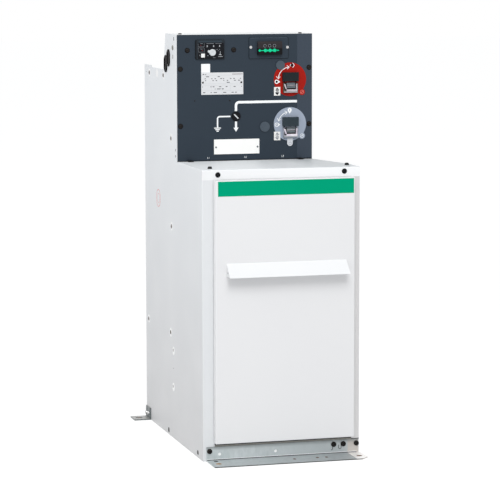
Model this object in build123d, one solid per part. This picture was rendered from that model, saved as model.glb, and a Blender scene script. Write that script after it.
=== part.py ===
from build123d import *
import os

# Compact medium-voltage switchgear unit, gas insulated, in a floor-standing sheet-steel cabinet.
# A cable compartment with a lift-off cover stands in front, with a flat deck on top of it.
# The control box with its dark fascia stands behind the deck, and the gas tank is behind the box.
# The right wall steps inward from the wide front frame to the narrower control box.
# Frame: +X to the right as seen from the front, +Y to the rear, +Z up, origin on the floor at
# the centre of the outline. Lengths are millimetres.

# Overall sizes of the cabinet
CABINET_WIDTH = 443.0
CABINET_DEPTH = 670.0
TOTAL_HEIGHT = 1142.0
CONTROL_HEIGHT = 351.0
CONTROL_WIDTH = 389.0
TANK_EDGE_DROP = 102.0
CONTROL_SETBACK = 271.0
CONTROL_TOP_DEPTH = 136.0
CONTROL_FOOT_DEPTH = 165.0
REAR_TAB_LENGTH = 84.0
REAR_TAB_RISE = 5.0
FRONT_FRAME_DEPTH = 70.0

# Sheet metal
SHEET = 2.0
FASCIA_THICKNESS = 3.0
BEND_RADIUS = 1.0
FOLD_LEG = 12.0
DECK_RETURN = 8.0
BOTTOM_RETURN = 25.0
REAR_RETURN = 20.0
FASCIA_RETURN = 18.0

# Front frame and cover
LEFT_JAMB_SHOWN = 31.0
RIGHT_JAMB_SHOWN = 21.5
JAMB_BEHIND_COVER = 24.0
TOP_RAIL_SHOWN = 27.0
COVER_STAND_OFF = 2.0
COVER_DEPTH = 22.0
COVER_BOTTOM_HEIGHT = 50.0
COVER_CORNER_RADIUS = 2.5
COVER_LIFT = 20.0
HOOK_FROM_COVER_END = 64.0
HOOK_NECK_HEIGHT = 10.0
HOOK_DROP = 16.0
HOOK_THICKNESS = 3.0
HOOK_LEG_DEPTH = 3.0
HOOK_CLEARANCE = 1.0
HOOK_INSET = 6.0

# Handle lip on the cover
HANDLE_LENGTH = 336.0
HANDLE_LEFT_INSET = 30.0
HANDLE_FROM_COVER_TOP = 223.0
HANDLE_DROP = 35.0
HANDLE_REACH = 39.0
HANDLE_HOLE_RADIUS = 2.5
HANDLE_HOLE_OUT = 14.0
HANDLE_HOLE_RISE = 11.0

# Feet
FOOT_DEPTH = 88.0
FOOT_HEIGHT = 39.5
FOOT_SHEET = 2.5
FRONT_BEAM_RISE = 30.0
FRONT_BEAM_HEIGHT = 32.0
FOOT_LEFT_INSET = 9.4
FOOT_OVERHANG = 3.0
FOOT_CORNER_CUT = 20.0
FOOT_HOLE_RADIUS = 8.0
FOOT_HOLE_INSET = 50.0
FOOT_HOLE_LEFT = 31.0
FOOT_HOLE_RIGHT = 15.0
FOOT_WEB_HOLES = (46.1, 203.7)
FOOT_WEB_HOLE_HEIGHT = 19.0
FOOT_WEB_HOLE_RADIUS = 4.5
FOOT_FLANGE_HOLES = (245.0, 310.0, 336.0)
FOOT_FLANGE_HOLE_INSET = 44.0
FOOT_FLANGE_HOLE_RADIUS = 2.5
BRACKET_REACH = 50.0
BRACKET_LENGTH = 55.0
BRACKET_HEIGHT = 35.0
BRACKET_SHEET = 3.0
BRACKET_SLOT_LENGTH = 22.0
BRACKET_SLOT_RADIUS = 5.5
BRACKET_HOLE_OUT = 30.0

# Gas tank and rear panel
TANK_BELOW_DECK = 391.0
TANK_TOP_RECESS = 18.0

# Driving places, worked out from the sizes above
DECK_HEIGHT = TOTAL_HEIGHT - CONTROL_HEIGHT
TANK_EDGE_HEIGHT = TOTAL_HEIGHT - TANK_EDGE_DROP
LEFT_X = (BRACKET_REACH - FOOT_OVERHANG - CABINET_WIDTH) / 2
RIGHT_X = LEFT_X + CABINET_WIDTH
FRONT_Y = FOOT_DEPTH - (CABINET_DEPTH + FOOT_DEPTH) / 2
REAR_Y = FRONT_Y + CABINET_DEPTH
FASCIA_Y = FRONT_Y + CONTROL_SETBACK
CHEEK_Y = FASCIA_Y + FASCIA_THICKNESS
CONTROL_RIGHT_X = LEFT_X + CONTROL_WIDTH
SHOULDER_Y = FRONT_Y + FRONT_FRAME_DEPTH
CONTROL_TOP_REAR_Y = FASCIA_Y + CONTROL_TOP_DEPTH
CONTROL_FOOT_REAR_Y = FASCIA_Y + CONTROL_FOOT_DEPTH
COVER_LEFT_X = LEFT_X + LEFT_JAMB_SHOWN
COVER_RIGHT_X = RIGHT_X - RIGHT_JAMB_SHOWN
COVER_TOP_HEIGHT = DECK_HEIGHT - TOP_RAIL_SHOWN
COVER_BACK_Y = FRONT_Y - COVER_STAND_OFF
COVER_FACE_Y = COVER_BACK_Y - COVER_DEPTH
HANDLE_TOP_HEIGHT = COVER_TOP_HEIGHT - HANDLE_FROM_COVER_TOP


def block(x_range, y_range, z_range):
    """A box between the two values of each range."""
    (x0, x1), (y0, y1), (z0, z1) = x_range, y_range, z_range
    centre = Pos((x0 + x1) / 2, (y0 + y1) / 2, (z0 + z1) / 2)
    return centre * Box(x1 - x0, y1 - y0, z1 - z0)


def facing_front(x, y, z):
    """A work plane whose normal points at someone standing in front."""
    return Plane(origin=(x, y, z), x_dir=(1, 0, 0), z_dir=(0, -1, 0))


def forward_disc(x, y, z, radius, thickness):
    """A disc that stands on the plane at y and comes forward by its thickness."""
    return extrude(facing_front(x, y, z) * Circle(radius), amount=thickness)


def forward_plate(x_range, z_range, y, thickness, corner=0.0):
    """A plate on the plane at y, coming forward by its thickness, with rounded corners."""
    (x0, x1), (z0, z1) = x_range, z_range
    outline = Rectangle(x1 - x0, z1 - z0)
    if corner:
        outline = RectangleRounded(x1 - x0, z1 - z0, corner)
    return extrude(facing_front((x0 + x1) / 2, y, (z0 + z1) / 2) * outline, amount=thickness)


def drum(x, y, z, axis, radius, length):
    """A cylinder from a point along an axis."""
    return extrude(Plane(origin=(x, y, z), z_dir=axis) * Circle(radius), amount=length)


def fold(long_leg, short_leg, thickness=SHEET):
    """Section of a folded sheet: the long leg lies along x and the short one along y."""
    section = Rectangle(long_leg, short_leg, align=(Align.MIN, Align.MIN))
    section -= Pos(thickness, thickness) * Rectangle(long_leg, short_leg, align=(Align.MIN, Align.MIN))
    corners = section.vertices().sort_by(lambda vertex: vertex.X + vertex.Y)
    section = fillet(corners[0], BEND_RADIUS + thickness)
    inside = [
        vertex
        for vertex in section.vertices()
        if abs(vertex.X - thickness) < BEND_RADIUS / 2 and abs(vertex.Y - thickness) < BEND_RADIUS / 2
    ]
    return fillet(inside, BEND_RADIUS)


def together(pieces):
    """Several solids as one node."""
    return Compound(children=list(pieces))


# Side walls

def upper_outline():
    """Outline of a side wall above the deck, as points of y and z, from the front edge to the rear."""
    tab_y = REAR_Y - REAR_TAB_LENGTH
    return [
        (CHEEK_Y, TOTAL_HEIGHT),
        (CONTROL_TOP_REAR_Y, TOTAL_HEIGHT),
        (CONTROL_FOOT_REAR_Y, TANK_EDGE_HEIGHT),
        (tab_y, TANK_EDGE_HEIGHT),
        (tab_y, TANK_EDGE_HEIGHT + REAR_TAB_RISE),
        (REAR_Y, TANK_EDGE_HEIGHT + REAR_TAB_RISE),
    ]


def wall_sheet(points, outer_x, side):
    """A flat sheet in the side plane with its outer face at outer_x."""
    face = Plane.YZ * make_face(Polyline(*points, close=True))
    inner = outer_x - side * SHEET
    return Pos(min(outer_x, inner), 0, 0) * extrude(face, amount=SHEET)


def inward(outer_x, side, width):
    """The x range of a return of that width that starts at a wall's outer face."""
    return tuple(sorted((outer_x, outer_x - side * width)))


def hook_slot_x(side):
    """The x range of the slots that the hooks drop into, on the left or the right of the cover."""
    edge = COVER_LEFT_X if side < 0 else COVER_RIGHT_X
    outer = edge - side * HOOK_INSET
    inner = outer - side * (HOOK_THICKNESS + 2 * HOOK_CLEARANCE)
    return tuple(sorted((outer, inner)))


def hook_heights():
    low = COVER_BOTTOM_HEIGHT + 2 * HOOK_FROM_COVER_END
    high = COVER_TOP_HEIGHT - HOOK_FROM_COVER_END
    return (low, (low + high) / 2, high)


def jamb(side, shown):
    """The upright at the front of a side wall, folded round from it, with its hook slots."""
    outer_x = LEFT_X if side < 0 else RIGHT_X
    corner = Plane(origin=(outer_x, FRONT_Y, 0), x_dir=(-side, 0, 0), z_dir=(0, 0, -side))
    upright = extrude(corner * fold(shown + JAMB_BEHIND_COVER, FOLD_LEG), amount=-side * COVER_TOP_HEIGHT)
    for height in hook_heights():
        top = height + HOOK_NECK_HEIGHT + COVER_LIFT + HOOK_CLEARANCE
        upright -= block(hook_slot_x(side), (FRONT_Y, FRONT_Y + SHEET), (height, top))
    return upright


def top_fold(side, length):
    """Rounded fold along the top of a lower side wall, from behind the front flange to the rear."""
    outer_x = LEFT_X if side < 0 else RIGHT_X
    corner = Plane(origin=(outer_x, FRONT_Y + SHEET, DECK_HEIGHT), x_dir=(0, 0, -1), z_dir=(0, side, 0))
    return extrude(corner * fold(FOLD_LEG, DECK_RETURN), amount=side * length)


def right_wall_strip(y_range, width):
    """Plan of a strip of that width inside the right wall, which slants in to the control box."""
    start, end = y_range
    bends = [(RIGHT_X, SHOULDER_Y), (CONTROL_RIGHT_X, FASCIA_Y)]
    start_x = RIGHT_X if start <= SHOULDER_Y else CONTROL_RIGHT_X
    path = [(start_x, start), *[point for point in bends if point[1] > start], (CONTROL_RIGHT_X, end)]
    inner = [(x - width, y) for x, y in reversed(path)]
    return make_face(Polyline(*path, *inner, close=True))


def fascia_return(outer_x, side):
    """Return of an upper side wall that the fascia is screwed to."""
    return block(
        inward(outer_x, side, FASCIA_RETURN),
        (CHEEK_Y, CHEEK_Y + SHEET),
        (DECK_HEIGHT + SHEET, TOTAL_HEIGHT - SHEET),
    )


def side_panel_left():
    fold_y = FRONT_Y + FOLD_LEG
    below = DECK_HEIGHT - FOLD_LEG
    deck_depth = CHEEK_Y - FRONT_Y - SHEET
    outline = [
        (fold_y, 0),
        (fold_y, COVER_TOP_HEIGHT),
        (FRONT_Y + SHEET, COVER_TOP_HEIGHT),
        (FRONT_Y + SHEET, below),
        (CHEEK_Y, below),
        *upper_outline(),
        (REAR_Y, 0),
    ]
    panel = wall_sheet(outline, LEFT_X, -1) + jamb(-1, LEFT_JAMB_SHOWN) + top_fold(-1, deck_depth)
    panel += block(inward(LEFT_X, -1, BOTTOM_RETURN), (FRONT_Y + SHEET, REAR_Y), (0, SHEET))
    panel += block(
        inward(LEFT_X, -1, REAR_RETURN), (REAR_Y - SHEET, REAR_Y), (0, TANK_EDGE_HEIGHT)
    )
    return panel + fascia_return(LEFT_X, -1)


def side_panel_right():
    """Wall bent in plan: straight beside the front frame, slanted along the deck, straight to the rear."""
    fold_y = FRONT_Y + FOLD_LEG
    below = DECK_HEIGHT - FOLD_LEG
    corner = [(fold_y, 0), (fold_y, COVER_TOP_HEIGHT), (FRONT_Y + SHEET, COVER_TOP_HEIGHT)]
    beside_frame = [*corner, (FRONT_Y + SHEET, below), (SHOULDER_Y, below), (SHOULDER_Y, 0)]
    panel = wall_sheet(beside_frame, RIGHT_X, 1) + jamb(1, RIGHT_JAMB_SHOWN)
    panel += top_fold(1, SHOULDER_Y - FRONT_Y - SHEET)
    panel += extrude(right_wall_strip((SHOULDER_Y, REAR_Y), SHEET), amount=DECK_HEIGHT)
    panel += extrude(right_wall_strip((FRONT_Y + SHEET, REAR_Y), BOTTOM_RETURN), amount=SHEET)
    return panel + block(
        inward(CONTROL_RIGHT_X, 1, REAR_RETURN), (REAR_Y - SHEET, REAR_Y), (0, DECK_HEIGHT)
    )


def upper_side_right():
    outline = [(CHEEK_Y, DECK_HEIGHT), *upper_outline(), (REAR_Y, DECK_HEIGHT)]
    panel = wall_sheet(outline, CONTROL_RIGHT_X, 1)
    panel += block(
        inward(CONTROL_RIGHT_X, 1, REAR_RETURN), (REAR_Y - SHEET, REAR_Y), (DECK_HEIGHT, TANK_EDGE_HEIGHT)
    )
    return panel + fascia_return(CONTROL_RIGHT_X, 1)


# Deck and rear

def deck_plate():
    """Flat deck with a flange folded down at the front, which is the top rail of the front."""
    corner = Plane(origin=(LEFT_X, FRONT_Y, DECK_HEIGHT), x_dir=(0, 1, 0), z_dir=(-1, 0, 0))
    front = extrude(corner * fold(FOLD_LEG, TOP_RAIL_SHOWN), amount=-CABINET_WIDTH)
    clear_of_folds = (LEFT_X + DECK_RETURN, RIGHT_X - DECK_RETURN)
    for x_range in ((LEFT_X, clear_of_folds[0]), (clear_of_folds[1], RIGHT_X)):
        front -= block(
            x_range,
            (FRONT_Y + SHEET, FRONT_Y + FOLD_LEG),
            (DECK_HEIGHT - TOP_RAIL_SHOWN, DECK_HEIGHT),
        )
    sheet = [
        (clear_of_folds[0], FRONT_Y + FOLD_LEG),
        (clear_of_folds[1], FRONT_Y + FOLD_LEG),
        (clear_of_folds[1], SHOULDER_Y),
        (CONTROL_RIGHT_X - DECK_RETURN, FASCIA_Y),
        (CONTROL_RIGHT_X - DECK_RETURN, CHEEK_Y),
        (clear_of_folds[0], CHEEK_Y),
    ]
    face = make_face(Polyline(*sheet, close=True))
    return front + Pos(0, 0, DECK_HEIGHT - SHEET) * extrude(face, amount=SHEET)


def side_ledge():
    """Narrow lip beside the deck, along the slanted part of the right wall."""
    strip = right_wall_strip((SHOULDER_Y, CHEEK_Y), DECK_RETURN) - right_wall_strip((SHOULDER_Y, CHEEK_Y), SHEET)
    return Pos(0, 0, DECK_HEIGHT - SHEET) * extrude(strip, amount=SHEET)


def rear_panel():
    return block(
        (LEFT_X + SHEET, CONTROL_RIGHT_X - SHEET),
        (REAR_Y - 2 * SHEET, REAR_Y - SHEET),
        (SHEET, DECK_HEIGHT - FOLD_LEG),
    )


def gas_tank():
    tank_top = TANK_EDGE_HEIGHT - TANK_TOP_RECESS
    return block(
        (LEFT_X + SHEET, CONTROL_RIGHT_X - SHEET),
        (CONTROL_FOOT_REAR_Y, REAR_Y - 2 * SHEET),
        (DECK_HEIGHT - TANK_BELOW_DECK, tank_top),
    )


# Control box

def top_cover():
    return block(
        (LEFT_X + SHEET, CONTROL_RIGHT_X - SHEET),
        (CHEEK_Y, CONTROL_TOP_REAR_Y),
        (TOTAL_HEIGHT - SHEET, TOTAL_HEIGHT),
    )


def control_rear_cover():
    tank_top = TANK_EDGE_HEIGHT - TANK_TOP_RECESS
    under_lid = TOTAL_HEIGHT - SHEET
    section = [
        (CONTROL_FOOT_REAR_Y - SHEET, tank_top),
        (CONTROL_FOOT_REAR_Y, tank_top),
        (CONTROL_FOOT_REAR_Y, TANK_EDGE_HEIGHT),
        (CONTROL_TOP_REAR_Y, under_lid),
        (CONTROL_TOP_REAR_Y - SHEET, under_lid),
        (CONTROL_FOOT_REAR_Y - SHEET, TANK_EDGE_HEIGHT),
    ]
    width = CONTROL_WIDTH - 2 * SHEET
    face = Plane.YZ * make_face(Polyline(*section, close=True))
    return Pos(LEFT_X + SHEET, 0, 0) * extrude(face, amount=width)


# Places on the fascia. The x of a place is measured from the left wall, or inward from the
# right wall where its name says so. Its height is measured down from the top of the control
# box, or up from the deck.

RELAY_X = 93.5
RELAY_DROP = 41.5
RELAY_WIDTH = 84.0
RELAY_HEIGHT = 55.0
RELAY_CORNER = 4.0
RELAY_FIT = 0.3
RELAY_PROUD = 2.0
RELAY_BODY_DEPTH = 45.0
DIAL_FROM_RELAY_X = 6.7
DIAL_BELOW_RELAY = 7.9
DIAL_RADIUS = 10.0
DIAL_HEIGHT = 4.0
DIAL_TAB_LENGTH = 13.0
DIAL_TAB_WIDTH = 5.0
DIAL_PIN_RADIUS = 3.0
DIAL_PIN_DEPTH = 8.0
PIN_FIT = 0.3
BUTTON_LEFT_OF_RELAY = 20.4
BUTTON_BELOW_RELAY = 16.0
BUTTON_SIZE = 10.6
BUTTON_HEIGHT = 2.0

VOLTAGE_FROM_RIGHT = 126.5
VOLTAGE_DROP = 39.0
VOLTAGE_PLATE_WIDTH = 115.0
VOLTAGE_PLATE_HEIGHT = 60.0
VOLTAGE_PLATE_THICKNESS = 1.5
VOLTAGE_MODULE_SHIFT = 1.5
VOLTAGE_MODULE_WIDTH = 70.0
VOLTAGE_MODULE_HEIGHT = 37.0
VOLTAGE_MODULE_PROUD = 10.0
VOLTAGE_MODULE_SLOPE = 5.0
SOCKET_PITCH = 13.0
SOCKET_RISE = 6.5
SOCKET_RADIUS = 4.5
SOCKET_DEPTH = 3.0
STRIP_WIDTH = 59.0
STRIP_HEIGHT = 6.0
STRIP_BULGE_RADIUS = 5.0
STRIP_THICKNESS = 2.0
STRIP_DROP = 6.5

OPERATION_FROM_RIGHT = 64.6
EARTH_DROP = 127.0
SWITCH_RISE = 99.0
DISC_SPACING = 31.0
DISC_THICKNESS = 1.0
SHUTTER_WIDTH = 45.6
SHUTTER_HEIGHT = 25.0
SHUTTER_ABOVE_DISC = 19.5
SHUTTER_SHEET = 1.5
SHUTTER_TRAVEL = 22.0
SLIDE_CLEARANCE = 0.5
SIDE_CLEARANCE = 0.4
HASP_HEIGHT = 27.0
HASP_BELOW_SHUTTER = 4.5
HASP_DEPTH = 9.0
HASP_SHEET = 1.8
HASP_LIP_HEIGHT = 6.5
STUD_SPACING = 34.0
STUD_FROM_SHUTTER_TOP = 3.5
STUD_RADIUS = 2.0
STUD_HEAD_RADIUS = 3.5
STUD_HEAD_THICKNESS = 1.5
STUD_CLEARANCE = 0.5
SHAFT_OPENING_RADIUS = 9.0
SHAFT_RADIUS = 6.0
SHAFT_LENGTH = 30.0
MECHANISM_WIDTH = 110.0
MECHANISM_FROM_DECK = 60.0

INDICATOR_X = 168.0
INDICATOR_RISE = 123.3
INDICATOR_RADIUS = 13.0
INDICATOR_FIT = 0.4
INDICATOR_PROUD = 2.0
INDICATOR_COLLAR = 3.0
INDICATOR_COLLAR_THICKNESS = 2.0
INDICATOR_COLLAR_GAP = 0.5
BAR_WIDTH = 3.5
BAR_LENGTH = 20.0
BAR_THICKNESS = 0.6
BAR_TURN = 45.0

UPPER_CAP_LEFT_OF_DISC = 28.1
UPPER_CAP_ABOVE_DISC = 40.0
UPPER_CAP_RADIUS = 12.7
LOWER_CAP_LEFT_OF_DISC = 73.4
LOWER_CAP_BELOW_DISC = 6.3
LOWER_CAP_RADIUS = 14.0
CAP_HEIGHT = 3.0
BADGE_RADIUS = 9.0
BADGE_RIGHT_OF_DISC = 34.9
BADGE_BELOW_DISC = 36.0
BADGE_THICKNESS = 1.4
MODE_PLATE_LEFT_OF_DISC = 37.4
MODE_PLATE_BELOW_DISC = 33.0
MODE_PLATE_WIDTH = 18.2
MODE_PLATE_HEIGHT = 24.0
MODE_PLATE_THICKNESS = 1.6

NAMEPLATE_X = 68.4
NAMEPLATE_WIDTH = 120.6
NAMEPLATE_HEIGHT = 61.2
NAMEPLATE_BOTTOM_DROP = 166.2
NAMEPLATE_TAB_WIDTH = 25.6
NAMEPLATE_TAB_HEIGHT = 24.3
LABEL_PLATE_X = 104.5
LABEL_PLATE_WIDTH = 130.7
LABEL_PLATE_RISE = 18.5
LABEL_PLATE_HEIGHT = 41.3
PLATE_THICKNESS = 0.8

FASCIA_SCREW_INSET = 9.0
FASCIA_SCREW_DROP = 94.5
FASCIA_SCREW_RISE = 98.5
RELAY_SCREW_SPACING = 132.6
RELAY_SCREW_SHIFT = 1.8
RELAY_SCREW_BELOW = 1.5
FASCIA_SCREW_RADIUS = 5.5
FASCIA_SCREW_HEIGHT = 3.5

# Places on the side wall, behind the fascia and below its top
GROMMET_PLACES = ((103.0, 67.0), (138.0, 85.0))
GROMMET_RADIUS = 19.6
GROMMET_HEIGHT = 4.0

FOOT_BOLT_LEFT = 17.6
FOOT_BOLT_RIGHT = 8.8
FOOT_BOLT_SPACING = 37.5
FOOT_BOLT_INNER_SPACING = 27.4
FOOT_BOLT_HEIGHT = 28.0
FOOT_BOLT_RADIUS = 6.9
FOOT_BOLT_HEAD = 6.0

operation_x = CONTROL_RIGHT_X - OPERATION_FROM_RIGHT
earth_z = TOTAL_HEIGHT - EARTH_DROP
switch_z = DECK_HEIGHT + SWITCH_RISE
disc_radius = (earth_z - switch_z - DISC_SPACING) / 2
relay_x = LEFT_X + RELAY_X
relay_z = TOTAL_HEIGHT - RELAY_DROP
dial_x = relay_x + DIAL_FROM_RELAY_X
dial_z = relay_z - DIAL_BELOW_RELAY
voltage_x = CONTROL_RIGHT_X - VOLTAGE_FROM_RIGHT
voltage_z = TOTAL_HEIGHT - VOLTAGE_DROP
indicator_x = LEFT_X + INDICATOR_X
indicator_z = DECK_HEIGHT + INDICATOR_RISE


def about(centre, width):
    """The range of that width round a centre."""
    return (centre - width / 2, centre + width / 2)


def access_cuts(disc_z, y, thickness):
    """The round shaft opening behind a shutter and the two upright slots for its studs."""
    top = disc_z + SHUTTER_ABOVE_DISC
    cuts = forward_disc(operation_x, y, top - SHUTTER_HEIGHT / 2, SHAFT_OPENING_RADIUS, thickness)
    slot_radius = STUD_RADIUS + STUD_CLEARANCE
    slot_z = top - STUD_FROM_SHUTTER_TOP - SHUTTER_TRAVEL / 2
    outline = Rectangle(2 * slot_radius, SHUTTER_TRAVEL + 2 * slot_radius)
    for side in (-1, 1):
        place = facing_front(operation_x + side * STUD_SPACING / 2, y, slot_z)
        cuts += extrude(place * outline, amount=thickness)
    return cuts


def control_fascia():
    """Front of the control box, lying over the front edges of its walls and lid."""
    fascia = forward_plate(
        (LEFT_X, CONTROL_RIGHT_X), (DECK_HEIGHT, TOTAL_HEIGHT), CHEEK_Y, FASCIA_THICKNESS
    )
    fascia -= forward_plate(
        about(relay_x, RELAY_WIDTH), about(relay_z, RELAY_HEIGHT), CHEEK_Y, FASCIA_THICKNESS, RELAY_CORNER
    )
    fascia -= forward_disc(
        indicator_x, CHEEK_Y, indicator_z, INDICATOR_RADIUS + INDICATOR_FIT, FASCIA_THICKNESS
    )
    for disc_z in (earth_z, switch_z):
        fascia -= access_cuts(disc_z, CHEEK_Y, FASCIA_THICKNESS)
    return fascia


def relay_module():
    module = forward_plate(
        about(relay_x, RELAY_WIDTH - 2 * RELAY_FIT),
        about(relay_z, RELAY_HEIGHT - 2 * RELAY_FIT),
        CHEEK_Y + RELAY_BODY_DEPTH,
        RELAY_BODY_DEPTH + FASCIA_THICKNESS + RELAY_PROUD,
        RELAY_CORNER - RELAY_FIT,
    )
    front_y = FASCIA_Y - RELAY_PROUD
    return module - forward_disc(
        dial_x, front_y + DIAL_PIN_DEPTH, dial_z, DIAL_PIN_RADIUS + PIN_FIT, DIAL_PIN_DEPTH
    )


def relay_dial():
    front_y = FASCIA_Y - RELAY_PROUD - PIN_FIT
    knob = forward_disc(dial_x, front_y, dial_z, DIAL_RADIUS, DIAL_HEIGHT)
    tab = Box(DIAL_TAB_LENGTH, DIAL_HEIGHT, DIAL_TAB_WIDTH, align=(Align.MAX, Align.MAX, Align.CENTER))
    knob += Pos(dial_x, front_y, dial_z) * tab
    pin_depth = DIAL_PIN_DEPTH - 2 * PIN_FIT
    return knob + forward_disc(dial_x, front_y + pin_depth, dial_z, DIAL_PIN_RADIUS, pin_depth)


def relay_button():
    x = relay_x - BUTTON_LEFT_OF_RELAY
    z = relay_z - BUTTON_BELOW_RELAY
    return forward_plate(
        about(x, BUTTON_SIZE), about(z, BUTTON_SIZE), FASCIA_Y - RELAY_PROUD, BUTTON_HEIGHT
    )


def voltage_plate():
    return forward_plate(
        about(voltage_x, VOLTAGE_PLATE_WIDTH),
        about(voltage_z, VOLTAGE_PLATE_HEIGHT),
        FASCIA_Y,
        VOLTAGE_PLATE_THICKNESS,
        RELAY_CORNER,
    )


def voltage_module():
    x = voltage_x + VOLTAGE_MODULE_SHIFT
    front_y = FASCIA_Y - VOLTAGE_PLATE_THICKNESS
    module = forward_plate(
        about(x, VOLTAGE_MODULE_WIDTH),
        about(voltage_z, VOLTAGE_MODULE_HEIGHT),
        front_y,
        VOLTAGE_MODULE_PROUD,
    )
    upper_edge = module.edges().filter_by(Axis.X).sort_by(lambda edge: edge.center().Z - edge.center().Y)[-1]
    module = chamfer(upper_edge, VOLTAGE_MODULE_SLOPE)
    for step in (-1, 0, 1):
        module -= forward_disc(
            x + step * SOCKET_PITCH,
            front_y - VOLTAGE_MODULE_PROUD + SOCKET_DEPTH,
            voltage_z + SOCKET_RISE,
            SOCKET_RADIUS,
            SOCKET_DEPTH,
        )
    return module


def voltage_strip():
    x = voltage_x + VOLTAGE_MODULE_SHIFT
    y = FASCIA_Y - VOLTAGE_PLATE_THICKNESS - VOLTAGE_MODULE_PROUD
    z = voltage_z - STRIP_DROP
    strip = forward_plate(about(x, STRIP_WIDTH), about(z, STRIP_HEIGHT), y, STRIP_THICKNESS)
    for step in (-1, 0, 1):
        strip += forward_disc(x + step * SOCKET_PITCH, y, z, STRIP_BULGE_RADIUS, STRIP_THICKNESS)
    return strip


def operation_disc(disc_z):
    disc = forward_disc(operation_x, FASCIA_Y, disc_z, disc_radius, DISC_THICKNESS)
    disc -= access_cuts(disc_z, FASCIA_Y, DISC_THICKNESS)
    for piece in (badges(), mode_plates(), blank_caps()):
        disc -= piece
    return disc


def shutter(disc_z):
    """Cap that slides down over the hasp, held by two headed studs in the slots of the fascia."""
    top = disc_z + SHUTTER_ABOVE_DISC
    back = FASCIA_Y - DISC_THICKNESS - SLIDE_CLEARANCE
    inner_face = FASCIA_Y - DISC_THICKNESS - HASP_DEPTH - SLIDE_CLEARANCE
    cap = block(
        about(operation_x, SHUTTER_WIDTH), (inner_face - SHUTTER_SHEET, back), (top - SHUTTER_HEIGHT, top)
    )
    cap = fillet(cap.edges().group_by(Axis.Y)[0].filter_by(Axis.Z), SHUTTER_SHEET / 2)
    cap -= block(
        about(operation_x, SHUTTER_WIDTH - 2 * SHUTTER_SHEET),
        (inner_face, back),
        (top - SHUTTER_HEIGHT, top - SHUTTER_SHEET),
    )
    head_front = CHEEK_Y + STUD_CLEARANCE
    for side in (-1, 1):
        x = operation_x + side * STUD_SPACING / 2
        z = top - STUD_FROM_SHUTTER_TOP
        cap += forward_disc(x, head_front, z, STUD_RADIUS, head_front - inner_face)
        cap += forward_disc(x, head_front + STUD_HEAD_THICKNESS, z, STUD_HEAD_RADIUS, STUD_HEAD_THICKNESS)
    return cap


def hasp(disc_z):
    """Folded tray under a shutter: a back, two wings and a floor with an upstanding lip."""
    top = disc_z + SHUTTER_ABOVE_DISC - SHUTTER_HEIGHT - HASP_BELOW_SHUTTER
    width = SHUTTER_WIDTH - 2 * (SHUTTER_SHEET + SIDE_CLEARANCE)
    back = FASCIA_Y - DISC_THICKNESS
    tray = block(about(operation_x, width), (back - HASP_DEPTH, back), (top - HASP_HEIGHT, top))
    tray -= block(
        about(operation_x, width - 2 * HASP_SHEET),
        (back - HASP_DEPTH + HASP_SHEET, back - HASP_SHEET),
        (top - HASP_HEIGHT + HASP_SHEET, top),
    )
    return tray - block(
        about(operation_x, width - 2 * HASP_SHEET),
        (back - HASP_DEPTH, back - HASP_DEPTH + HASP_SHEET),
        (top - HASP_HEIGHT + HASP_LIP_HEIGHT, top),
    )


def operating_shafts():
    """Hexagonal shaft ends behind the shutters, which the operating lever fits."""
    shafts = []
    for disc_z in (earth_z, switch_z):
        shaft_z = disc_z + SHUTTER_ABOVE_DISC - SHUTTER_HEIGHT / 2
        end = Plane(origin=(operation_x, CHEEK_Y, shaft_z), x_dir=(1, 0, 0), z_dir=(0, 1, 0))
        shafts.append(extrude(end * RegularPolygon(SHAFT_RADIUS, 6), amount=SHAFT_LENGTH))
    return together(shafts)


def mechanism_case():
    """Case on the front of the tank, which the two operating shafts come out of."""
    return block(
        about(operation_x, MECHANISM_WIDTH),
        (CHEEK_Y + SHAFT_LENGTH, CONTROL_FOOT_REAR_Y),
        (DECK_HEIGHT + MECHANISM_FROM_DECK, TANK_EDGE_HEIGHT - TANK_TOP_RECESS - SHEET),
    )


def position_indicator():
    collar_y = CHEEK_Y + INDICATOR_COLLAR_GAP
    disc = forward_disc(
        indicator_x, collar_y, indicator_z, INDICATOR_RADIUS, collar_y - FASCIA_Y + INDICATOR_PROUD
    )
    return disc + forward_disc(
        indicator_x,
        collar_y + INDICATOR_COLLAR_THICKNESS,
        indicator_z,
        INDICATOR_RADIUS + INDICATOR_COLLAR,
        INDICATOR_COLLAR_THICKNESS,
    )


def position_bar():
    face = facing_front(indicator_x, FASCIA_Y - INDICATOR_PROUD, indicator_z)
    outline = Rot(0, 0, BAR_TURN) * Rectangle(BAR_WIDTH, BAR_LENGTH)
    return extrude(face * outline, amount=BAR_THICKNESS)


def blank_caps():
    upper = forward_disc(
        operation_x - UPPER_CAP_LEFT_OF_DISC,
        FASCIA_Y,
        earth_z + UPPER_CAP_ABOVE_DISC,
        UPPER_CAP_RADIUS,
        CAP_HEIGHT,
    )
    lower = forward_disc(
        operation_x - LOWER_CAP_LEFT_OF_DISC,
        FASCIA_Y,
        switch_z - LOWER_CAP_BELOW_DISC,
        LOWER_CAP_RADIUS,
        CAP_HEIGHT,
    )
    return together([upper, lower])


def badges():
    pieces = []
    for disc_z in (earth_z, switch_z):
        x = operation_x + BADGE_RIGHT_OF_DISC
        pieces.append(forward_disc(x, FASCIA_Y, disc_z - BADGE_BELOW_DISC, BADGE_RADIUS, BADGE_THICKNESS))
    return together(pieces)


def nameplate():
    left = LEFT_X + NAMEPLATE_X
    bottom = TOTAL_HEIGHT - NAMEPLATE_BOTTOM_DROP
    top = bottom + NAMEPLATE_HEIGHT
    plate = forward_plate((left, left + NAMEPLATE_WIDTH), (bottom, top), FASCIA_Y, PLATE_THICKNESS)
    return plate + forward_plate(
        (left, left + NAMEPLATE_TAB_WIDTH), (top, top + NAMEPLATE_TAB_HEIGHT), FASCIA_Y, PLATE_THICKNESS
    )


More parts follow.
